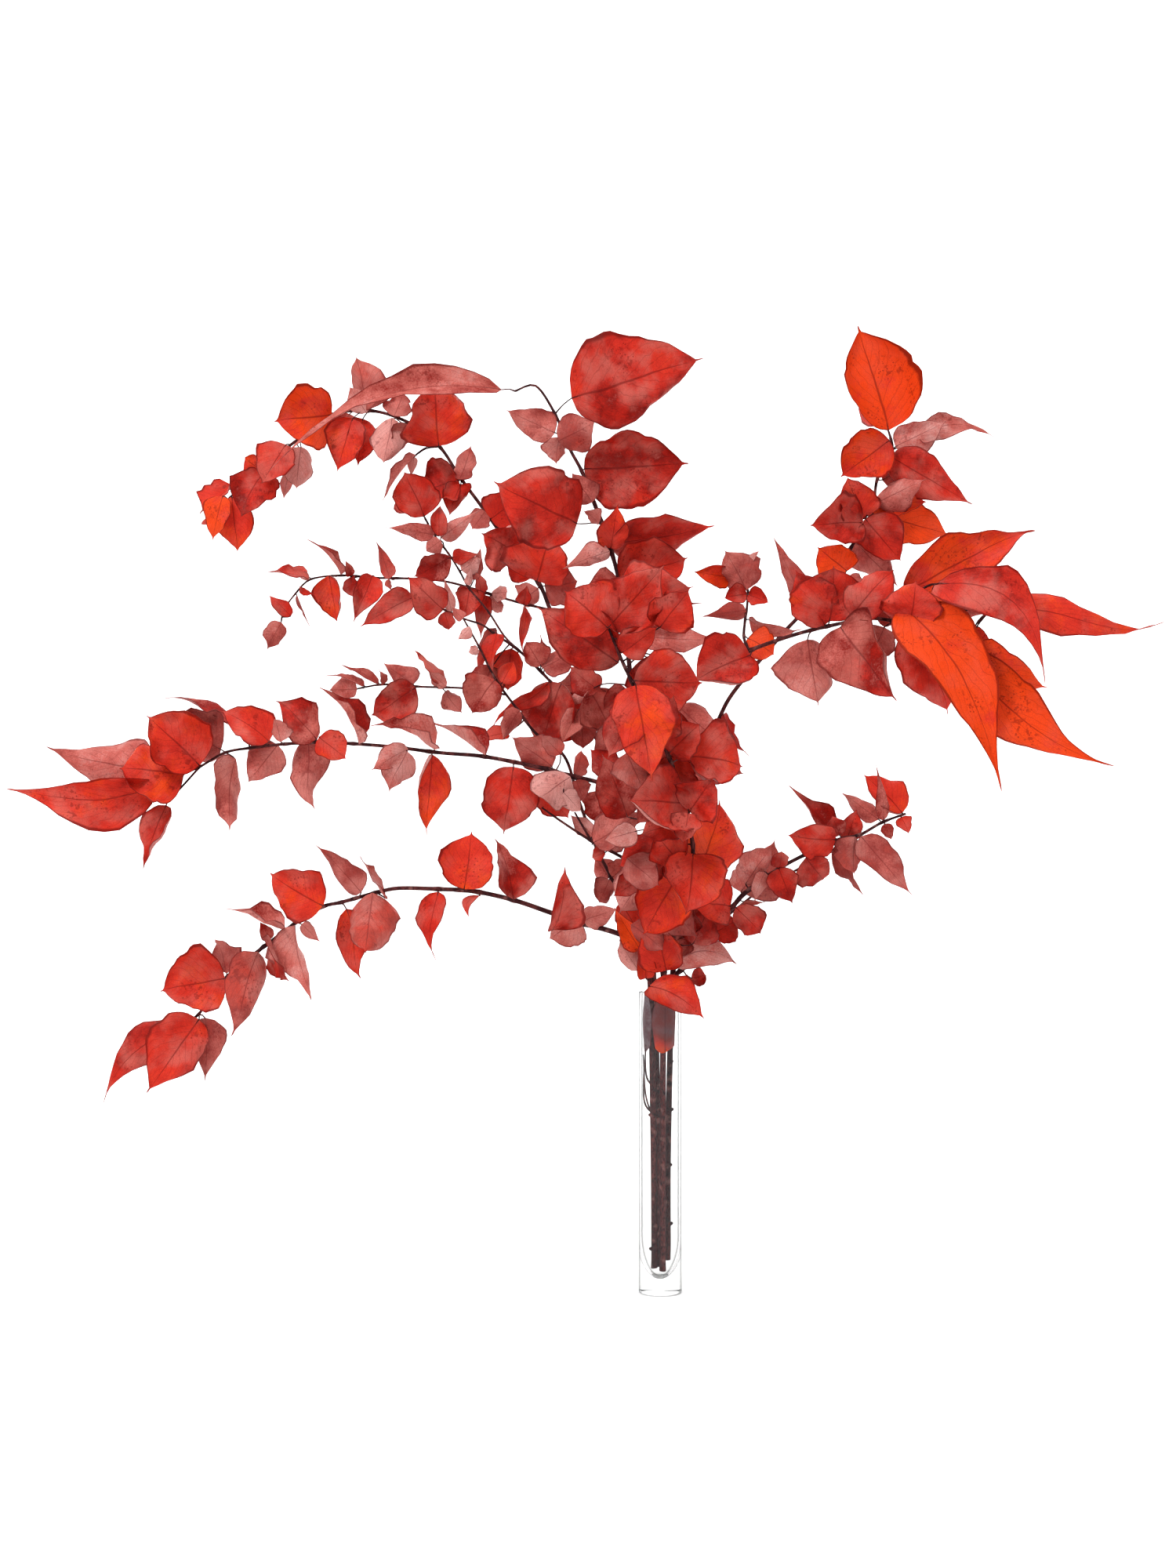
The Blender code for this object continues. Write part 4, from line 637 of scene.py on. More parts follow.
def leaf_faces(rings, tip):
    """Triangles over the rings of front and back points, the root's cap and the tip."""
    first_front, first_back = rings[0]
    faces = [(first_front[0], first_back[0], first_front[1])]
    for (front, back), (next_front, next_back) in zip(rings, rings[1:]):
        faces += strip(front, next_front)
        faces += [tuple(reversed(face)) for face in strip(back, next_back)]
        faces += [(front[0], next_front[0], next_back[0]), (front[0], next_back[0], back[0])]
        faces += [(front[-1], back[-1], next_back[-1]), (front[-1], next_back[-1], next_front[-1])]
    front, back = rings[-1]
    faces += [(a, b, tip) for a, b in zip(front, front[1:])]
    faces += [(b, a, tip) for a, b in zip(back, back[1:])]
    faces += [(front[0], tip, back[0]), (front[-1], back[-1], tip)]
    return faces


class Skin:
    """A mesh kept with its box and search tree, to find what it would cross."""

    def __init__(self, owner, points, faces, stem=False):
        self.owner = owner
        self.stem = stem
        self.low = [min(point[axis] for point in points) for axis in range(3)]
        self.high = [max(point[axis] for point in points) for axis in range(3)]
        self.tree = BVHTree.FromPolygons(points, faces)

    def meets(self, other):
        """Whether the two skins cross."""
        for axis in range(3):
            if self.high[axis] < other.low[axis] or other.high[axis] < self.low[axis]:
                return False
        return bool(self.tree.overlap(other.tree))


def vase_profile():
    """The outline of the glass from the axis under the foot, up the outside and down inside to the floor."""
    inner = VASE_RADIUS - VASE_WALL
    outline = [(0.0, 0.0), (VASE_RADIUS - FOOT_CHAMFER, 0.0), (VASE_RADIUS, FOOT_CHAMFER),
               (VASE_RADIUS, VASE_HEIGHT - FOOT_CHAMFER), (VASE_RADIUS - FOOT_CHAMFER, VASE_HEIGHT),
               (inner + FOOT_CHAMFER, VASE_HEIGHT), (inner, VASE_HEIGHT - FOOT_CHAMFER)]
    return outline + bowl_outline()


def vase_mesh():
    """Points and triangles of the turned glass."""
    outline = vase_profile()
    ring = outline[1:-1]
    points = [Vector((0.0, 0.0, outline[0][1]))]
    for radius, height in ring:
        for step in range(VASE_SIDES):
            angle = math.tau * step / VASE_SIDES
            points.append(Vector((radius * math.cos(angle), radius * math.sin(angle), height)))
    points.append(Vector((0.0, 0.0, outline[-1][1])))
    faces = []
    for step in range(VASE_SIDES):
        after = (step + 1) % VASE_SIDES
        faces.append((0, 1 + after, 1 + step))
        for level in range(len(ring) - 1):
            a = 1 + level * VASE_SIDES
            b = a + VASE_SIDES
            faces.append((a + step, a + after, b + after))
            faces.append((a + step, b + after, b + step))
        last = 1 + (len(ring) - 1) * VASE_SIDES
        faces.append((last + step, last + after, len(points) - 1))
    return points, faces


def grow_leaves(paths, skins):
    """Choose each leaf's depth and lean, largest first, so that it crosses nothing of another body."""
    chance = random.Random(SEED)
    leaves = []
    for name, stems in BRANCHES.items():
        for (_, rows), path in zip(stems, paths[name]):
            for number, row in enumerate(fuller(row, FULLNESS[name]) for row in rows):
                leaves.append((name, Leaf(row, path, LEAF_THICKNESS[name], chance)))
                if row[4] >= REAR_MIN_WIDTH and number % REAR_STEP == 0 and row[1] < VASE_MOUTH_Y:
                    back = rear_row(row, chance)
                    leaves.append((name, Leaf(back, path, LEAF_THICKNESS[name], chance, rear=True)))
    leaves.sort(key=lambda pair: (pair[1].rear, -pair[1].size))
    kept = {name: [] for name in BRANCHES}
    for name, leaf in leaves:
        if settle(name, leaf, skins):
            kept[name].append(leaf)
    return kept


def fuller(row, gain):
    """The row with its blade drawn out from the base, where the blade isn't one of the large ones."""
    base_x, base_y, tip_x, tip_y, width = row[:5]
    if width >= LARGE_LEAF:
        return row
    return (base_x, base_y, base_x + gain * (tip_x - base_x), base_y + gain * (tip_y - base_y),
            width * gain, *row[5:])


def rear_row(row, chance):
    """A leaf on the far side of the stem, behind the one in row and a little smaller."""
    base_x, base_y, tip_x, tip_y, width, _, tone = row[:7]
    size = chance.uniform(0.72, 0.9)
    middle_x, middle_y = (base_x + tip_x) / 2.0, (base_y + tip_y) / 2.0
    drift = chance.uniform(-0.06, 0.06) * width
    return (middle_x + (base_x - middle_x) * size, middle_y + (base_y - middle_y) * size + drift,
            middle_x + (tip_x - middle_x) * size, middle_y + (tip_y - middle_y) * size + drift,
            width * size, chance.choice((180, 160, 200)), tone)


def settle(name, leaf, skins):
    """Try depths and leans near the leaf's own and keep the one that crosses least."""
    best = None
    depths = (0, -3, 3, -6, 6, -9, 9, -13, 13, -17, 17, -22, 22, -28, 28)
    tries = [(depth, lean) for depth in depths for lean in (0.0, -0.3, 0.3, -0.6, 0.6)]
    if leaf.out:
        tries = [(depth, lean) for depth in depths[:3] for lean in (0.0, -0.2, 0.2, -0.4)]
    for depth, lean in tries:
        leaf.shift(depth / 1000.0, lean)
        skin = Skin(name, *leaf.mesh(CLEARANCE))
        blade = Skin(name, *leaf.mesh(CLEARANCE, bare=True))
        cost = abs(depth) * 0.01 + abs(lean) * 0.2
        for other in skins:
            if other.owner == name:
                cost += 1.0 if (blade if other.stem else skin).meets(other) else 0.0
            elif skin.meets(other):
                cost += 100.0
        if best is None or cost < best[0]:
            best = (cost, depth, lean, skin)
        if cost < 0.05:
            break
    cost, depth, lean, skin = best
    leaf.shift(depth / 1000.0, lean)
    if cost >= 100.0 or (leaf.rear and cost >= 1.0):
        return False
    skins.append(skin)
    return True


def srgb(red, green, blue):
    """A colour given as 0 to 255 screen values, in the linear values that shaders take."""
    return tuple((value / 255.0 / 12.92 if value <= 10 else ((value / 255.0 + 0.055) / 1.055) ** 2.4)
                 for value in (red, green, blue))


class VaseSettings(PropertyGroup):
    sides: IntProperty(name="Sides", description="Sides of the turned glass", default=96, min=24, max=256)
    tint: FloatVectorProperty(
        name="Tint", description="Colour of the glass", subtype="COLOR", default=(0.97, 0.975, 0.973))
    # Painted shade: the grey laid into the glass where it is seen edge on, for the dark edges that
    # refraction and reflection give.
    painted_edge_shade: FloatVectorProperty(
        name="Edge tint", description="Colour of the glass seen edge on", subtype="COLOR",
        default=(0.2, 0.21, 0.21))
    roughness: FloatProperty(
        name="Roughness", description="Haze of the glass", default=0.01, min=0.0, max=1.0)


class LeafSettings(PropertyGroup):
    thickness: FloatProperty(
        name="Thickness", description="Thickness of a blade", default=0.00042, unit="LENGTH", min=0.0001)
    ripple: FloatProperty(
        name="Ripple", description="Height of the waves along a blade's edge, over its width", default=0.055)
    roll: FloatProperty(
        name="Roll", description="How far blade edges roll over", default=1.0, min=0.0, max=1.5)
    # Deep red stands partly for painted shade on shaded blades, and orange partly for painted light shining
    # through lit ones, besides the dye.
    deep_red: FloatVectorProperty(
        name="Deep red", description="Dye where blades are old or shaded", subtype="COLOR",
        default=srgb(138, 24, 18))
    bright_red: FloatVectorProperty(
        name="Bright red", description="Dye on the upper face", subtype="COLOR", default=srgb(220, 56, 38))
    orange: FloatVectorProperty(
        name="Orange", description="Dye on thin young blades", subtype="COLOR", default=srgb(240, 74, 24))
    rose: FloatVectorProperty(
        name="Rose", description="Dusty bloom on the under face", subtype="COLOR",
        default=srgb(204, 108, 98))
    pale: FloatVectorProperty(
        name="Pale", description="Whitish under face", subtype="COLOR", default=srgb(224, 162, 154))


class StemSettings(PropertyGroup):
    sides: IntProperty(name="Sides", description="Sides of a stem", default=10, min=5, max=24)
    step: FloatProperty(
        name="Step", description="Distance between a stem's rings", default=0.004, unit="LENGTH", min=0.001)
    bark: FloatVectorProperty(
        name="Bark", description="Colour of the twigs", subtype="COLOR", default=srgb(58, 24, 26))
    old_bark: FloatVectorProperty(
        name="Old bark", description="Colour of the thick cut ends", subtype="COLOR",
        default=srgb(66, 24, 26))


class StageSettings(PropertyGroup):
    floor: FloatVectorProperty(
        name="Floor", description="Colour of the floor", subtype="COLOR", default=(0.93, 0.93, 0.93))
    sky: FloatProperty(
        name="Sky", description="Strength of the white surroundings", default=0.6, min=0.0)
    key: FloatProperty(
        name="Key", description="Power of the large soft light in watts", default=54.0, min=0.0)
    back: FloatProperty(name="Back", description="Power of the light behind in watts", default=30.0, min=0.0)
    top: FloatProperty(name="Top", description="Power of the light overhead in watts", default=55.0, min=0.0)
    wall: FloatProperty(
        name="Wall", description="Power of each light on the wall in watts", default=66.0, min=0.0)


class Finish:
    """A new material, with short words for the nodes that it is made of."""

    def __init__(self, name):
        self.material = bpy.data.materials.new(name)
        self.material.use_nodes = True
        self.nodes = self.material.node_tree.nodes
        self.shader = self.nodes["Principled BSDF"]
        self.places = self.node("ShaderNodeTexCoord").outputs["Object"]

    def feed(self, socket, value):
        """Give an input a constant, or link another node's output to it."""
        if isinstance(value, bpy.types.NodeSocket):
            self.material.node_tree.links.new(value, socket)
        elif socket.type == "RGBA":
            socket.default_value = (*value[:3], 1.0)
        else:
            socket.default_value = value

    def give(self, name, value):
        self.feed(self.shader.inputs[name], value)

    def node(self, kind, values=None, **settings):
        """Add a node; settings are its properties and values its inputs."""
        made = self.nodes.new(kind)
        for key, value in settings.items():
            setattr(made, key, value)
        for key, value in (values or {}).items():
            self.feed(made.inputs[key], value)
        return made

    def attribute(self, name):
        return self.node("ShaderNodeAttribute", attribute_name=name).outputs["Fac"]

    def wrapped(self, name):
        return self.node("ShaderNodeUVMap", uv_map=name).outputs["UV"]

    def drawn_out(self, places, scale):
        return self.node("ShaderNodeMapping", {"Vector": places, "Scale": scale}).outputs[0]

    def noise(self, scale, detail=2.0, places=None):
        values = {"Vector": places or self.places, "Scale": scale, "Detail": detail}
        return self.node("ShaderNodeTexNoise", values).outputs[0]

    def cells(self, scale, feature="F1"):
        """Distance to the nearest cell's centre, or to the cells' borders."""
        values = {"Vector": self.places, "Scale": scale}
        return self.node("ShaderNodeTexVoronoi", values, feature=feature).outputs["Distance"]

    def calculate(self, operation, *values):
        return self.node("ShaderNodeMath", dict(enumerate(values)), operation=operation).outputs[0]

    def times(self, first, second):
        return self.calculate("MULTIPLY", first, second)

    def fit(self, value, gain, shift):
        """The value times gain, plus shift."""
        return self.calculate("MULTIPLY_ADD", value, gain, shift)

    def most(self, first, *others):
        """The largest of some values."""
        for other in others:
            first = self.calculate("MAXIMUM", first, other)
        return first

    def ease(self, value, low, high, start=0.0, end=1.0):
        """Map value from low..high to start..end with soft ends."""
        ranges = {"Value": value, "From Min": low, "From Max": high, "To Min": start, "To Max": end}
        return self.node("ShaderNodeMapRange", ranges, interpolation_type="SMOOTHSTEP").outputs["Result"]

    def blend(self, share, first, second):
        """Mix two colours."""
        return self.node("ShaderNodeMix", {0: share, 6: first, 7: second}, data_type="RGBA").outputs[2]

    def ramp(self, value, stops):
        """A colour ramp over stops of place and colour."""
        made = self.node("ShaderNodeValToRGB", {"Fac": value})
        band = made.color_ramp
        while len(band.elements) < len(stops):
            band.elements.new(0.5)
        for element, (spot, colour) in zip(band.elements, stops):
            element.position = spot
            element.color = (*colour[:3], 1.0)
        return made.outputs["Color"]

    def emboss(self, height, strength, distance):
        values = {"Height": height, "Strength": strength, "Distance": distance}
        self.give("Normal", self.node("ShaderNodeBump", values).outputs["Normal"])

    def let_through(self, colour, share):
        """Mix in light that shines through from behind."""
        through = self.node("ShaderNodeBsdfTranslucent", {"Color": colour}).outputs["BSDF"]
        mixed = self.node("ShaderNodeMixShader", {0: share, 1: self.shader.outputs["BSDF"], 2: through})
        self.feed(self.nodes["Material Output"].inputs["Surface"], mixed.outputs["Shader"])


def leaf_material(name, attribute, stops, dust, vein, roughness, vein_share, glow):
    """Dyed blade: its leaf's tone, dye and painted light and shade together, clouded and dusty, with ribs,
    net, stains, specks and a dark rim.
    """
    make = Finish(name)
    tone = make.attribute(attribute)
    split = make.node("ShaderNodeSeparateXYZ", {"Vector": make.wrapped("blade")}).outputs
    along = split["X"]
    wide, cloud, grain = make.noise(26.0), make.noise(90.0, 6.0), make.noise(700.0, 3.0)
    across_it = make.calculate("ADD", make.fit(split["Y"], 2.0, -1.0), make.fit(wide, 0.16, -0.08))
    out = make.calculate("ABSOLUTE", across_it)
    # The tone carries painted light and shade as well as dye: tones near 2 give deep red, partly painted
    # shade, and tones near 5 orange, partly painted light shining through.
    shade = make.fit(tone, 0.2, make.times(make.attribute("chance"), 0.06))
    for part, share in ((wide, 0.8), (cloud, 0.5), (grain, 0.26)):
        shade = make.calculate("ADD", shade, make.fit(part, share, -0.5 * share))
    bloom = make.ease(make.noise(42.0, 5.0), 0.42, 0.68, 0.0, 0.62)
    dusty = make.times(bloom, make.ease(tone, 4.6, 2.8, 0.2, 1.0))
    colour = make.blend(dusty, make.ramp(shade, stops), dust)

    midrib = make.ease(out, make.fit(along, -0.035, 0.055), 0.01)
    course = make.fit(cloud, 1.1, make.times(make.fit(out, -0.34, along), 11.0))
    side_vein = make.ease(make.calculate("PINGPONG", course, 0.5), 0.075, 0.0)
    net = make.ease(make.cells(520.0, "DISTANCE_TO_EDGE"), 0.09, 0.0)
    veins = make.most(make.times(midrib, 0.6), make.times(side_vein, vein_share),
                      make.times(net, 0.55 * vein_share))
    rim = make.times(make.ease(make.fit(grain, 0.05, out), 0.92, 0.99), 0.75)
    tip = make.times(make.ease(along, 0.86, 1.0), 0.5)
    rare = make.noise(48.0, 3.0)
    specks = make.times(make.ease(make.cells(330.0), 0.3, 0.16), make.ease(rare, 0.5, 0.62, 0.0, 0.6))
    stains = make.times(make.ease(make.noise(240.0), 0.55, 0.66), make.ease(rare, 0.48, 0.64, 0.0, 0.5))
    finish = make.blend(make.most(veins, rim, tip, specks, stains), colour, vein)

    make.give("Base Color", finish)
    make.give("Roughness", make.ease(grain, 0.3, 0.7, roughness - 0.07, roughness + 0.09))
    make.give("Specular IOR Level", LEAF_GLOSS)
    height = make.fit(grain, 0.3, make.fit(veins, -0.6, make.times(cloud, 2.2)))
    make.emboss(height, 0.6, 0.0009)
    make.let_through(make.blend(0.35, finish, glow), TRANSLUCENCY)
    return make.material


def bark_material(settings):
    """Twig skin: reddish brown, greyer on thick old wood, with fine lengthwise grain, patches and scars."""
    make = Finish("twig_bark")
    wrap = make.wrapped("wrap")
    fibre = make.noise(4.0, 6.0, make.drawn_out(wrap, (60.0, 9.0, 1.0)))
    cloud = make.noise(120.0, 4.0)
    each = make.noise(1.0, 1.0, make.drawn_out(make.places, (150.0, 150.0, 7.0)))
    scars = make.noise(1.0, 3.0, make.drawn_out(wrap, (420.0, 1.5, 1.0)))
    thick = make.ease(make.attribute("girth"), 0.0018, 0.0026)
    colour = make.blend(thick, settings.bark[:], settings.old_bark[:])
    for share, layer in (
        (make.ease(each, 0.42, 0.62, 0.0, 0.7), srgb(112, 52, 50)),
        (make.ease(fibre, 0.42, 0.62), srgb(30, 10, 14)),
        (make.ease(scars, 0.58, 0.7, 0.0, 0.6), srgb(26, 10, 12)),
        (make.ease(cloud, 0.54, 0.7, 0.0, 0.6), srgb(142, 92, 88)),
    ):
        colour = make.blend(share, colour, layer)
    make.give("Base Color", colour)
    make.give("Roughness", make.ease(cloud, 0.3, 0.7, 0.55, 0.8))
    make.give("Specular IOR Level", BARK_GLOSS)
    make.emboss(make.fit(fibre, 0.8, make.fit(scars, -0.5, cloud)), 0.6, 0.0008)
    return make.material


def glass_material(settings):
    """Clear drawn glass, faintly wavy, with painted shade: it greys and lets less light through where it is
    seen edge on.
    """
    make = Finish("clear_glass")
    turned = make.node("ShaderNodeLayerWeight", {"Blend": 0.5}).outputs["Facing"]
    # Painted shade: grey base colour and less transmission towards the parts seen edge on.
    edge_shade_share = make.ease(turned, 0.36, 0.78)
    make.give("Base Color", make.blend(edge_shade_share, settings.tint[:], settings.painted_edge_shade[:]))
    make.give("Transmission Weight", make.ease(turned, 0.45, 0.85, 1.0, 0.3))
    make.give("IOR", GLASS_INDEX)
    wave = make.noise(1.0, 2.0, make.drawn_out(make.places, (60.0, 60.0, 9.0)))
    make.give("Roughness", make.ease(wave, 0.35, 0.7, settings.roughness * 0.3, settings.roughness * 1.4))
    make.emboss(wave, 0.06, 0.0005)
    return make.material


def floor_material(colour):
    """Matt paper, a little uneven in tone."""
    make = Finish("pale_floor")
    low = tuple(value * 0.985 for value in colour)
    make.give("Base Color", make.blend(make.noise(3.0), low, colour))
    make.give("Roughness", 0.9)
    return make.material


def link_mesh(bm, name, materials):
    """Make a smooth object of a bmesh, with its materials."""
    mesh = bpy.data.meshes.new(name)
    bm.to_mesh(mesh)
    bm.free()
    for material in materials:
        mesh.materials.append(material)
    mesh.shade_smooth()
    made = bpy.data.objects.new(name, mesh)
    bpy.context.scene.collection.objects.link(made)
    return made


def finish_piece(bm, name, materials, replaced):
    """Make a piece of a bmesh, riding on the body and standing for a CAD node."""
    piece = link_mesh(bm, name, materials)
    piece.data.set_sharp_from_angle(angle=SHARP_ANGLE)
    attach(piece, "root")
    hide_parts(replaced)


def smooth_path(path, step):
    """Points and radii along a smooth curve through a path's own points."""
    last = len(path) - 1
    made = []
    for index in range(last):
        before, (start, radius) = path[max(index - 1, 0)][0], path[index]
        (end, end_radius), after = path[index + 1], path[min(index + 2, last)][0]
        reach = (end - start).length
        ahead, behind = (end - before) * 0.5, (after - start) * 0.5
        ahead = ahead.normalized() * min(ahead.length, reach)
        behind = behind.normalized() * min(behind.length, reach)
        turns = max(1, round(reach / step))
        for turn in range(turns):
            t = turn / turns
            point = (start * (2 * t ** 3 - 3 * t ** 2 + 1) + ahead * (t ** 3 - 2 * t ** 2 + t)
                     + end * (3 * t ** 2 - 2 * t ** 3) + behind * (t ** 3 - t ** 2))
            made.append((point, radius + (end_radius - radius) * t))
    made.append(path[-1])
    return made


def add_tube(bm, path, sides, girth, wrap):
    """Wrap a grid round a path of points and radii, close its seam and cap its ends."""
    count = len(path) - 1
    made = bmesh.ops.create_grid(bm, x_segments=count, y_segments=sides, size=0.5)["verts"]
    frames, guide, travelled, distance = [], Vector((0.0, -1.0, 0.0)), [], 0.0
    for index, (point, _) in enumerate(path):
        before, after = path[max(index - 1, 0)][0], path[min(index + 1, count)][0]
        direction = (after - before).normalized()
        guide = across(direction, guide)
        frames.append((guide, direction.cross(guide)))
        distance += (point - before).length
        travelled.append(distance)
    places = {}
    for vert in made:
        index, angle = round((vert.co.x + 0.5) * count), math.tau * (vert.co.y + 0.5)
        places[vert] = (travelled[index], vert.co.y + 0.5)
        (up, side), (point, radius) = frames[index], path[index]
        vert[girth] = radius
        vert.co = point + up * (radius * math.cos(angle)) + side * (radius * math.sin(angle))
    for face in {face for vert in made for face in vert.link_faces}:
        for loop in face.loops:
            loop[wrap].uv = places[loop.vert]
    bmesh.ops.remove_doubles(bm, verts=made, dist=1e-7)
    ring = [vert for vert in made if vert.is_valid]
    rims = list({edge for vert in ring for edge in vert.link_edges if edge.is_boundary})
    bmesh.ops.holes_fill(bm, edges=rims, sides=0)
    every = list({face for vert in ring for face in vert.link_faces})
    bmesh.ops.recalc_face_normals(bm, faces=every)


def knuckled(path, roots):
    """Swell a stem's radius a little where each petiole leaves it."""
    swollen = []
    for point, radius in path:
        swell = sum(math.exp(-((point - root).length / KNUCKLE_LENGTH) ** 2) for root in roots)
        swollen.append((point, radius * (1.0 + 0.28 * min(swell, 1.2))))
    return swollen


def petiole_path(leaf):
    """The stalk from inside the stem to the blade, which it joins in the blade's own direction."""
    reach = (leaf.base - leaf.root).length
    lift = leaf.frame(0.0)[2] * (0.08 * reach)
    middle = leaf.root.lerp(leaf.base, 0.55) - leaf.axis * (0.14 * reach) + lift
    under = leaf.point(0.07, 0.0, -0.0002)
    return [(leaf.root, 0.00085), (middle, 0.0006), (leaf.base, 0.00055), (under, 0.00025)]


class FineLeaf:
    """The drawn surface of a leaf: its coarse blade with a drip tip, wavy edges, a fold and a curled end."""

    def __init__(self, leaf, chance, settings):
        self.leaf = leaf
        self.waves = chance.uniform(2.2, 4.0)
        self.phase = chance.uniform(0.0, math.tau)
        self.uneven = chance.uniform(0.0, math.tau)
        self.nod = chance.uniform(-0.10, 0.22) * leaf.length
        self.ripple = settings.ripple * chance.uniform(0.4, 1.5) * leaf.width
        self.rolls = [chance.choice((0.0, 0.3, 0.6, 0.9, -0.5)) * settings.roll for _ in range(2)]
        self.pleat = chance.uniform(0.0, 0.02) * leaf.width

    def reach(self, u, v):
        """Half width on the side of v: the round body, an uneven edge and a slender drip at the tip."""
        body = self.leaf.half_width(u, v)
        drip = DRIP_WIDTH * self.leaf.width * (1.0 - u) ** 0.55
        lag = 1.7 if v > 0.0 else 0.0
        edge = 1.02 + 0.035 * math.sin(math.tau * 2.6 * u + self.uneven + lag)
        edge += 0.025 * math.sin(math.tau * 5.3 * u + 2.0 * self.uneven - lag)
        if self.leaf.size > LARGE_BLADE:
            edge += 0.012 * math.sin(math.tau * 8.1 * u - self.uneven)
        return max(body * edge, min(drip, 6.0 * drip * u))

    def point(self, u, v):
        leaf = self.leaf
        centre, side, facing = leaf.frame(u)
        half = self.reach(u, v)
        reach = half * v
        lag = 2.1 if v > 0.0 else 0.0
        swell = abs(v) ** 1.6 * math.sin(math.pi * u)
        lift = leaf.ripple * math.sin(math.tau * leaf.waves * u + leaf.phase + lag) * swell
        lift += self.ripple * math.sin(math.tau * self.waves * u + self.phase + lag) * swell
        lift += abs(reach) * math.sin(leaf.fold) - self.nod * max(u - 0.55, 0.0) ** 2 * 2.0
        pleats = math.cos(math.tau * 5.0 * (u - 0.4 * abs(v)))
        lift += self.pleat * pleats * math.sin(math.pi * abs(v)) * swell
        roll = self.rolls[0 if v < 0.0 else 1]
        over = max(abs(v) - 0.5, 0.0) * 2.0
        lift += roll * over * over * half * 0.6
        reach *= 1.0 - 0.16 * abs(roll) * over * over
        return centre + side * (reach * math.cos(leaf.fold)) + facing * lift


def blade_grid(along, wide, spot):
    """A grid with the blade's UV map; spot gives each point's place from its share along and its side."""
    single = bmesh.new()
    blade = single.loops.layers.uv.new("blade")
    made = bmesh.ops.create_grid(single, x_segments=along, y_segments=wide, size=0.5)["verts"]
    for face in single.faces:
        for loop in face.loops:
            loop[blade].uv = (loop.vert.co.x + 0.5, loop.vert.co.y + 0.5)
    for vert in made:
        vert.co = spot(vert.co.x + 0.5, 2.0 * vert.co.y)
    return single, blade


def thicken(single, reverse, thickness):
    """Turn the faces round if they point the wrong way, and give the blade its thickness."""
    if reverse:
        bmesh.ops.reverse_faces(single, faces=single.faces[:])
    bmesh.ops.solidify(single, geom=single.faces[:], thickness=thickness)
    single.normal_update()


def add_blade(bm, fine, tones, layers, thickness):
    """Shape a grid into one blade, give it its thickness and mark its two faces."""
    leaf = fine.leaf
    along, wide = (24, 8) if leaf.size > LARGE_BLADE else (14, 6) if leaf.size > SMALL_BLADE else (10, 4)
    single, blade = blade_grid(
        along, wide, lambda t, v: fine.point(0.35 * t + 0.65 * (0.5 - 0.5 * math.cos(math.pi * t)), v))
    bmesh.ops.remove_doubles(single, verts=single.verts[:], dist=1e-6)
    single.normal_update()

    def facing(face):
        return leaf.frame(sum(loop[blade].uv.x for loop in face.loops) / len(face.loops))[2]

    middle = min(single.faces, key=lambda face: sum(abs(loop[blade].uv.x - 0.5) for loop in face.loops))
    thicken(single, middle.normal.dot(facing(middle)) < 0.0, thickness)
    for face in single.faces:
        face.material_index = UNDER_FACE if face.normal.dot(facing(face)) < 0.0 else UPPER_FACE
    add_marked(bm, single, tones, layers)


def add_marked(bm, single, tones, layers):
    """Add one blade to the piece, with its tones on every point."""
    mesh = bpy.data.meshes.new("blade")
    single.to_mesh(mesh)
    single.free()
    start = len(bm.verts)
    bm.from_mesh(mesh)
    bpy.data.meshes.remove(mesh)
    bm.verts.ensure_lookup_table()
    for vert in bm.verts[start:]:
        for layer, value in zip(layers, tones):
            vert[layer] = value


def neck_point(neck_leaf, t, v):
    """A point of a neck leaf at t up it and v across, on a round just inside the glass."""
    middle, half, low, high, _ = neck_leaf
    swell = math.sin(math.pi * (0.22 + 0.7 * t)) ** 0.5 * (1.0 + 0.06 * math.sin(9.0 * t + 3.0 * v))
    angle = middle + half * swell * v
    radius = VASE_RADIUS - VASE_WALL - 0.0011 - 0.0003 * (1.0 + math.sin(5.0 * v + 7.0 * t))
    rise = low + (high - low) * (t + 0.09 * (1.0 - t) * (v * v + 0.3 * math.sin(2.6 * v)))
    return Vector((radius * math.sin(angle), -radius * math.cos(angle), rise))


def add_neck_leaf(bm, neck_leaf, layers, thickness):
    """Shape one of the leaves in the neck of the tube, redder towards its foot."""
    single, _ = blade_grid(12, 10, lambda t, v: neck_point(neck_leaf, t, v))
    single.normal_update()
    flat = Vector((1.0, 1.0, 0.0))
    outwards = sum(face.normal.dot(face.calc_center_median() * flat) for face in single.faces)
    thicken(single, outwards < 0.0, thickness)
    for face in single.faces:
        inner = face.normal.dot(face.calc_center_median() * flat) < 0.0
        face.material_index = UNDER_FACE if inner else NECK_FACE
    start, (_, _, low, high, tone) = len(bm.verts), neck_leaf
    add_marked(bm, single, (tone, 1.0, 0.5), layers)
    for vert in bm.verts[start:]:
        foot = max(0.0, 1.0 - (vert.co.z - low) / (high - low) / 0.34)
        vert[layers[0]] = tone + (1.9 * tone - 0.2) * foot ** 1.5


def on_stem(path, height):
    """The point and radius of a stem at a height in the tube."""
    for (low, first), (high, second) in zip(path, path[1:]):
        if low.z <= height <= high.z:
            share = (height - low.z) / max(high.z - low.z, 1e-6)
            return low.lerp(high, share), first + (second - first) * share
    return path[0]


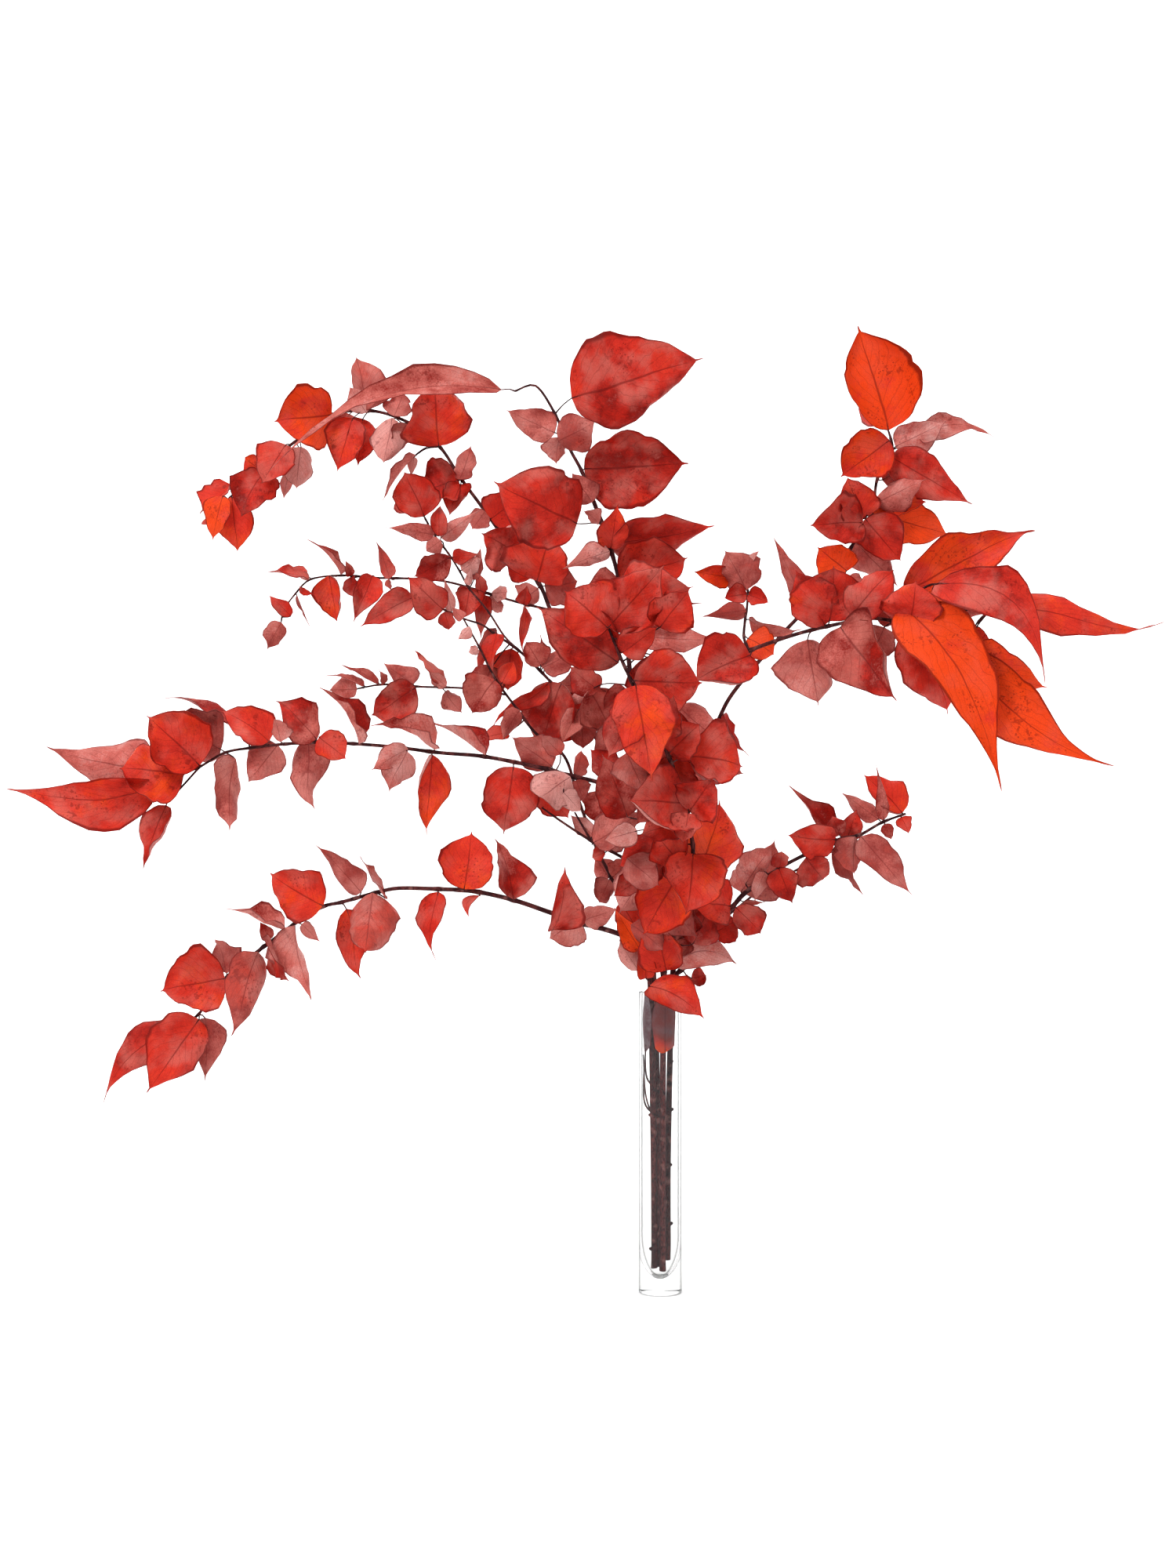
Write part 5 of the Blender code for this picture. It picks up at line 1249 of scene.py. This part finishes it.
def neck_stalks(path):
    """The neck leaves' stalks: two that arch along the glass to the left one, a short one to the right."""
    left, right = (neck_point(neck_leaf, 0.05, 0.0) for neck_leaf in NECK_LEAVES)
    runs = []
    for low, bow, drop in ((0.145, 0.0136, 0.0), (0.167, 0.0122, 0.003)):
        root, _ = on_stem(path, low)
        out = Vector((-bow, -0.003, low + 0.026))
        near = Vector((-bow * 0.82, -0.0045, low + 0.009))
        end = left + Vector((0.0, 0.0, drop))
        runs.append([(root, 0.0009), (near, 0.0008), (out, 0.00065), (end, 0.00045)])
    root, _ = on_stem(path, right.z - 0.008)
    runs.append([(root, 0.0008), (root.lerp(right, 0.5), 0.0006), (right, 0.0005)])
    return runs


def stub_path(path, height, turn):
    """A broken-off side twig: a short stub that leans up and out of the stem."""
    root, radius = on_stem(path, height)
    out = Vector((math.sin(turn), -math.cos(turn), 0.35))
    lengths = ((0.0, 0.8), (radius + 0.0004, 0.55), (radius + 0.0011, 0.45), (radius + 0.0017, 0.16))
    return [(root + out * reach, radius * share) for reach, share in lengths]


def leaf_tones(leaf, chance, inner):
    """Tones of the upper and under face: the row's tone is for the face that the viewer sees."""
    # The row's tone holds painted light and shade as well as dye.
    seen = leaf.row[6] + chance.uniform(-0.3, 0.3)
    seen -= 0.3 * max(seen - 2.5, 0.0) if inner else 0.0
    if math.cos(leaf.turn) >= 0.0:
        return seen, chance.uniform(0.2, 1.7)
    return chance.uniform(2.2, 4.6), seen


def lay_out_branches():
    """The stems' paths and the leaves of every branch, as the plain solids have them."""
    paths = {name: [stem_path(route) for route, _ in stems] for name, stems in BRANCHES.items()}
    skins = [Skin("glass_vase", *vase_mesh())]
    for name in BRANCHES:
        for path in paths[name]:
            sides = STEM_SIDES if path[0][1] > THICK_STEM else TWIG_SIDES
            grown = [(point, radius + CLEARANCE) for point, radius in path]
            skins.append(Skin(name, *tube_mesh(grown, sides), stem=True))
    kept = grow_leaves(paths, skins)
    chance = random.Random(SEED + 2)
    for rows, path in zip(INFILL, paths["stem_centre"]):
        for row in rows:
            leaf = Leaf(row, path, LEAF_THICKNESS["stem_centre"], chance)
            if settle("stem_centre", leaf, skins):
                kept["stem_centre"].append(leaf)
    return paths, kept


def fine_vase_profile():
    """The glass outline with a rounded foot and a fire-polished lip."""
    inner, fillet, lip = VASE_RADIUS - VASE_WALL, 0.0016, VASE_WALL / 2.0
    outline = [(0.0, 0.0), (VASE_RADIUS * 0.6, 0.0)]
    for step in range(6):
        angle = math.pi / 2.0 * step / 5.0
        outline.append((VASE_RADIUS - fillet + fillet * math.sin(angle), fillet - fillet * math.cos(angle)))
    outline += [(VASE_RADIUS, VASE_HEIGHT * share) for share in (0.1, 0.3, 0.5, 0.7, 0.9)]
    for step in range(9):
        angle = math.pi * step / 8.0
        outline.append((inner + lip + lip * math.cos(angle), VASE_HEIGHT - lip + lip * math.sin(angle)))
    outline += [(inner, VASE_HEIGHT * share) for share in (0.9, 0.7, 0.5, 0.3)]
    for step in range(16):
        radius = inner * math.cos(math.pi / 2.0 * step / 16.0)
        outline.append((radius, bowl_floor(radius) - FLOOR_SLACK))
    return outline + [(0.0, VASE_FLOOR - FLOOR_SLACK)]


class BUNCH_OT_glass_vase(Operator):
    """Turn the clear glass tube"""
    bl_idname = "bunch.glass_vase"
    bl_label = "Glass Vase"

    def execute(self, context):
        settings = context.scene.bunch_vase
        bm = bmesh.new()
        outline = [bm.verts.new((radius, 0.0, height)) for radius, height in fine_vase_profile()]
        for first, second in zip(outline, outline[1:]):
            bm.edges.new((first, second))
        bmesh.ops.spin(bm, geom=bm.verts[:] + bm.edges[:], cent=(0.0, 0.0, 0.0), axis=(0.0, 0.0, 1.0),
                       angle=math.tau, steps=settings.sides, use_merge=True)
        bmesh.ops.remove_doubles(bm, verts=bm.verts[:], dist=1e-6)
        bmesh.ops.recalc_face_normals(bm, faces=bm.faces[:])
        finish_piece(bm, "tube_vase", [glass_material(settings)], "glass_vase")
        return {"FINISHED"}


class BUNCH_OT_stems(Operator):
    """Grow the wood of each branch: stems, side twigs and petioles"""
    bl_idname = "bunch.stems"
    bl_label = "Stems"

    def execute(self, context):
        settings = context.scene.bunch_stems
        bark = bark_material(settings)
        paths, kept = LAYOUT
        for name, slot in SLOTS.items():
            bm = bmesh.new()
            girth = bm.verts.layers.float.new("girth")
            wrap = bm.loops.layers.uv.new("wrap")
            roots = [leaf.root for leaf in kept[name]]
            for path in paths[name]:
                smooth = knuckled(smooth_path(path, settings.step), roots)
                add_tube(bm, smooth, settings.sides, girth, wrap)
            for leaf in kept[name]:
                add_tube(bm, smooth_path(petiole_path(leaf), settings.step), PETIOLE_SIDES, girth, wrap)
            if name == "stem_centre":
                for run in neck_stalks(paths[name][0]):
                    add_tube(bm, smooth_path(run, settings.step * 0.6), STALK_SIDES, girth, wrap)
            for height, turn in STUBS[name]:
                add_tube(bm, stub_path(paths[name][0], height, turn), STUB_SIDES, girth, wrap)
            finish_piece(bm, name.replace("stem", "wood"), [bark], name)
        return {"FINISHED"}


def leaf_materials(settings):
    """The finishes of the upper face, the under face and the outer face of the leaves in the neck."""
    deep, bright, orange = settings.deep_red[:], settings.bright_red[:], settings.orange[:]
    rose, pale = settings.rose[:], settings.pale[:]
    front = leaf_material(
        "leaf_front", "front_tone",
        [(0.0, pale), (0.22, rose), (0.42, deep), (0.6, srgb(198, 44, 32)), (0.8, bright), (0.98, orange)],
        srgb(206, 116, 104), srgb(98, 8, 8), 0.44, 0.34, orange)
    back = leaf_material(
        "leaf_back", "back_tone",
        [(0.0, pale), (0.2, rose), (0.42, srgb(156, 68, 62)), (0.62, srgb(194, 76, 64)), (0.85, bright)],
        srgb(212, 136, 126), srgb(112, 34, 34), 0.52, 0.42, bright)
    neck = leaf_material(
        "leaf_neck", "front_tone",
        [(0.0, srgb(150, 134, 140)), (0.2, srgb(112, 78, 82)), (0.5, srgb(138, 54, 50)), (0.72, bright),
         (0.9, orange)], srgb(150, 112, 112), srgb(66, 30, 34), 0.5, 0.3, bright)
    return [front, back, neck]


class BUNCH_OT_leaves(Operator):
    """Shape each branch's leaves, waved and curled, with a front and a back"""
    bl_idname = "bunch.leaves"
    bl_label = "Leaves"

    def execute(self, context):
        settings = context.scene.bunch_leaves
        materials = leaf_materials(settings)
        kept = LAYOUT[1]
        chance = random.Random(SEED + 1)
        for name, slot in SLOTS.items():
            bm = bmesh.new()
            layers = [bm.verts.layers.float.new(key) for key in ("front_tone", "back_tone", "chance")]
            bm.loops.layers.uv.new("blade")
            for leaf in kept[name]:
                fine = FineLeaf(leaf, chance, settings)
                tones = (*leaf_tones(leaf, chance, name != "stem_right"), chance.random())
                add_blade(bm, fine, tones, layers, settings.thickness)
            if name == "stem_centre":
                for neck_leaf in NECK_LEAVES:
                    add_neck_leaf(bm, neck_leaf, layers, settings.thickness)
            finish_piece(bm, name.replace("stem", "leaves"), materials, name)
        return {"FINISHED"}


class BUNCH_OT_stage(Operator):
    """Set the pale floor, the soft lights and the camera"""
    bl_idname = "bunch.stage"
    bl_label = "Stage"

    def execute(self, context):
        settings = context.scene.bunch_stage
        build_floor(settings.floor[:])
        build_surroundings(settings.sky)
        middle = (0.0, 0.0, 0.5)
        soft_light("key_light", (-1.5, -1.9, 2.3), middle, 1.1, settings.key)
        soft_light("fill_light", (2.2, -1.6, 1.0), middle, 1.4, settings.key * FILL_SHARE)
        soft_light("back_light", (0.6, 2.4, 1.9), middle, 2.0, settings.back)
        soft_light("top_light", (0.0, -0.4, 3.4), (0.0, 0.0, 0.0), 3.0, settings.top)
        for side in (-1.0, 1.0):
            soft_light("wall_light_%d" % side, (2.6 * side, 2.2, 1.8), (0.0, 4.2, 1.1), 1.2, settings.wall)
        camera = bpy.data.objects.new("camera", bpy.data.cameras.new("camera"))
        camera.data.sensor_fit = "AUTO"
        camera.data.sensor_width = SENSOR_WIDTH
        camera.data.lens = SENSOR_WIDTH * VIEW_DISTANCE / (VIEW_HEIGHT * POINT_SIZE)
        camera.location = place(*VIEW_CENTRE, 0.0) + Vector((0.0, -VIEW_DISTANCE, 0.0))
        camera.rotation_euler = (math.pi / 2.0, 0.0, 0.0)
        bpy.context.scene.collection.objects.link(camera)
        bpy.context.scene.camera = camera
        bpy.context.scene.view_settings.view_transform = "Standard"
        return {"FINISHED"}


def build_floor(colour):
    """A wide pale sweep: flat under the vase, curving up into a high wall far behind it."""
    bm = bmesh.new()
    made = bmesh.ops.create_grid(bm, x_segments=8, y_segments=40, size=0.5)["verts"]
    for vert in made:
        run = SWEEP_FRONT + SWEEP_LENGTH * (vert.co.y + 0.5)
        bend = max(run - SWEEP_START, 0.0)
        angle = min(bend / SWEEP_RADIUS, math.pi / 2.0)
        depth = min(run, SWEEP_START) + SWEEP_RADIUS * math.sin(angle)
        wall = max(bend - SWEEP_RADIUS * math.pi / 2.0, 0.0) * WALL_STRETCH
        height = SWEEP_RADIUS * (1.0 - math.cos(angle)) + wall
        vert.co = (vert.co.x * SWEEP_WIDTH, depth, height - FLOOR_DROP)
    bmesh.ops.recalc_face_normals(bm, faces=bm.faces[:])
    floor = link_mesh(bm, "floor", [floor_material(colour)])


def build_surroundings(strength):
    """White light from all round."""
    world = bpy.data.worlds.new("studio")
    world.use_nodes = True
    background = world.node_tree.nodes["Background"]
    background.inputs["Color"].default_value = (1.0, 1.0, 1.0, 1.0)
    background.inputs["Strength"].default_value = strength
    bpy.context.scene.world = world


def soft_light(name, location, target, size, power):
    """A round area light at a place, turned towards a target."""
    light = bpy.data.objects.new(name, bpy.data.lights.new(name, "AREA"))
    light.data.shape = "DISK"
    light.data.size = size
    light.data.energy = power
    light.location = location
    light.rotation_mode = "QUATERNION"
    light.rotation_quaternion = (Vector(target) - Vector(location)).to_track_quat("-Z", "Y")
    bpy.context.scene.collection.objects.link(light)


class BUNCH_PT_panel(Panel):
    """The bunch's pieces and their settings"""
    bl_idname = "BUNCH_PT_panel"
    bl_label = "Eucalyptus Bunch"
    bl_space_type = "VIEW_3D"
    bl_region_type = "UI"
    bl_category = "Eucalyptus"

    def draw(self, context):
        for operator, settings in STEPS.items():
            box = self.layout.box()
            box.operator("bunch." + operator)
            group = getattr(context.scene, settings)
            for key in group.bl_rna.properties.keys():
                if key not in {"rna_type", "name"}:
                    box.prop(group, key)


STEPS = {
    "glass_vase": "bunch_vase", "stems": "bunch_stems", "leaves": "bunch_leaves", "stage": "bunch_stage",
}
CLASSES = (
    VaseSettings, LeafSettings, StemSettings, StageSettings,
    BUNCH_OT_glass_vase, BUNCH_OT_stems, BUNCH_OT_leaves, BUNCH_OT_stage, BUNCH_PT_panel,
)
LAYOUT = lay_out_branches()


def register():
    for item in CLASSES:
        bpy.utils.register_class(item)
    bpy.types.Scene.bunch_vase = PointerProperty(type=VaseSettings)
    bpy.types.Scene.bunch_leaves = PointerProperty(type=LeafSettings)
    bpy.types.Scene.bunch_stems = PointerProperty(type=StemSettings)
    bpy.types.Scene.bunch_stage = PointerProperty(type=StageSettings)


def unregister():
    for settings in STEPS.values():
        delattr(bpy.types.Scene, settings)
    for item in reversed(CLASSES):
        bpy.utils.unregister_class(item)


def main():
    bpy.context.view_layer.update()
    register()
    bpy.ops.bunch.glass_vase()
    bpy.ops.bunch.stems()
    bpy.ops.bunch.leaves()
    bpy.ops.bunch.stage()


if __name__ == "__main__":
    main()
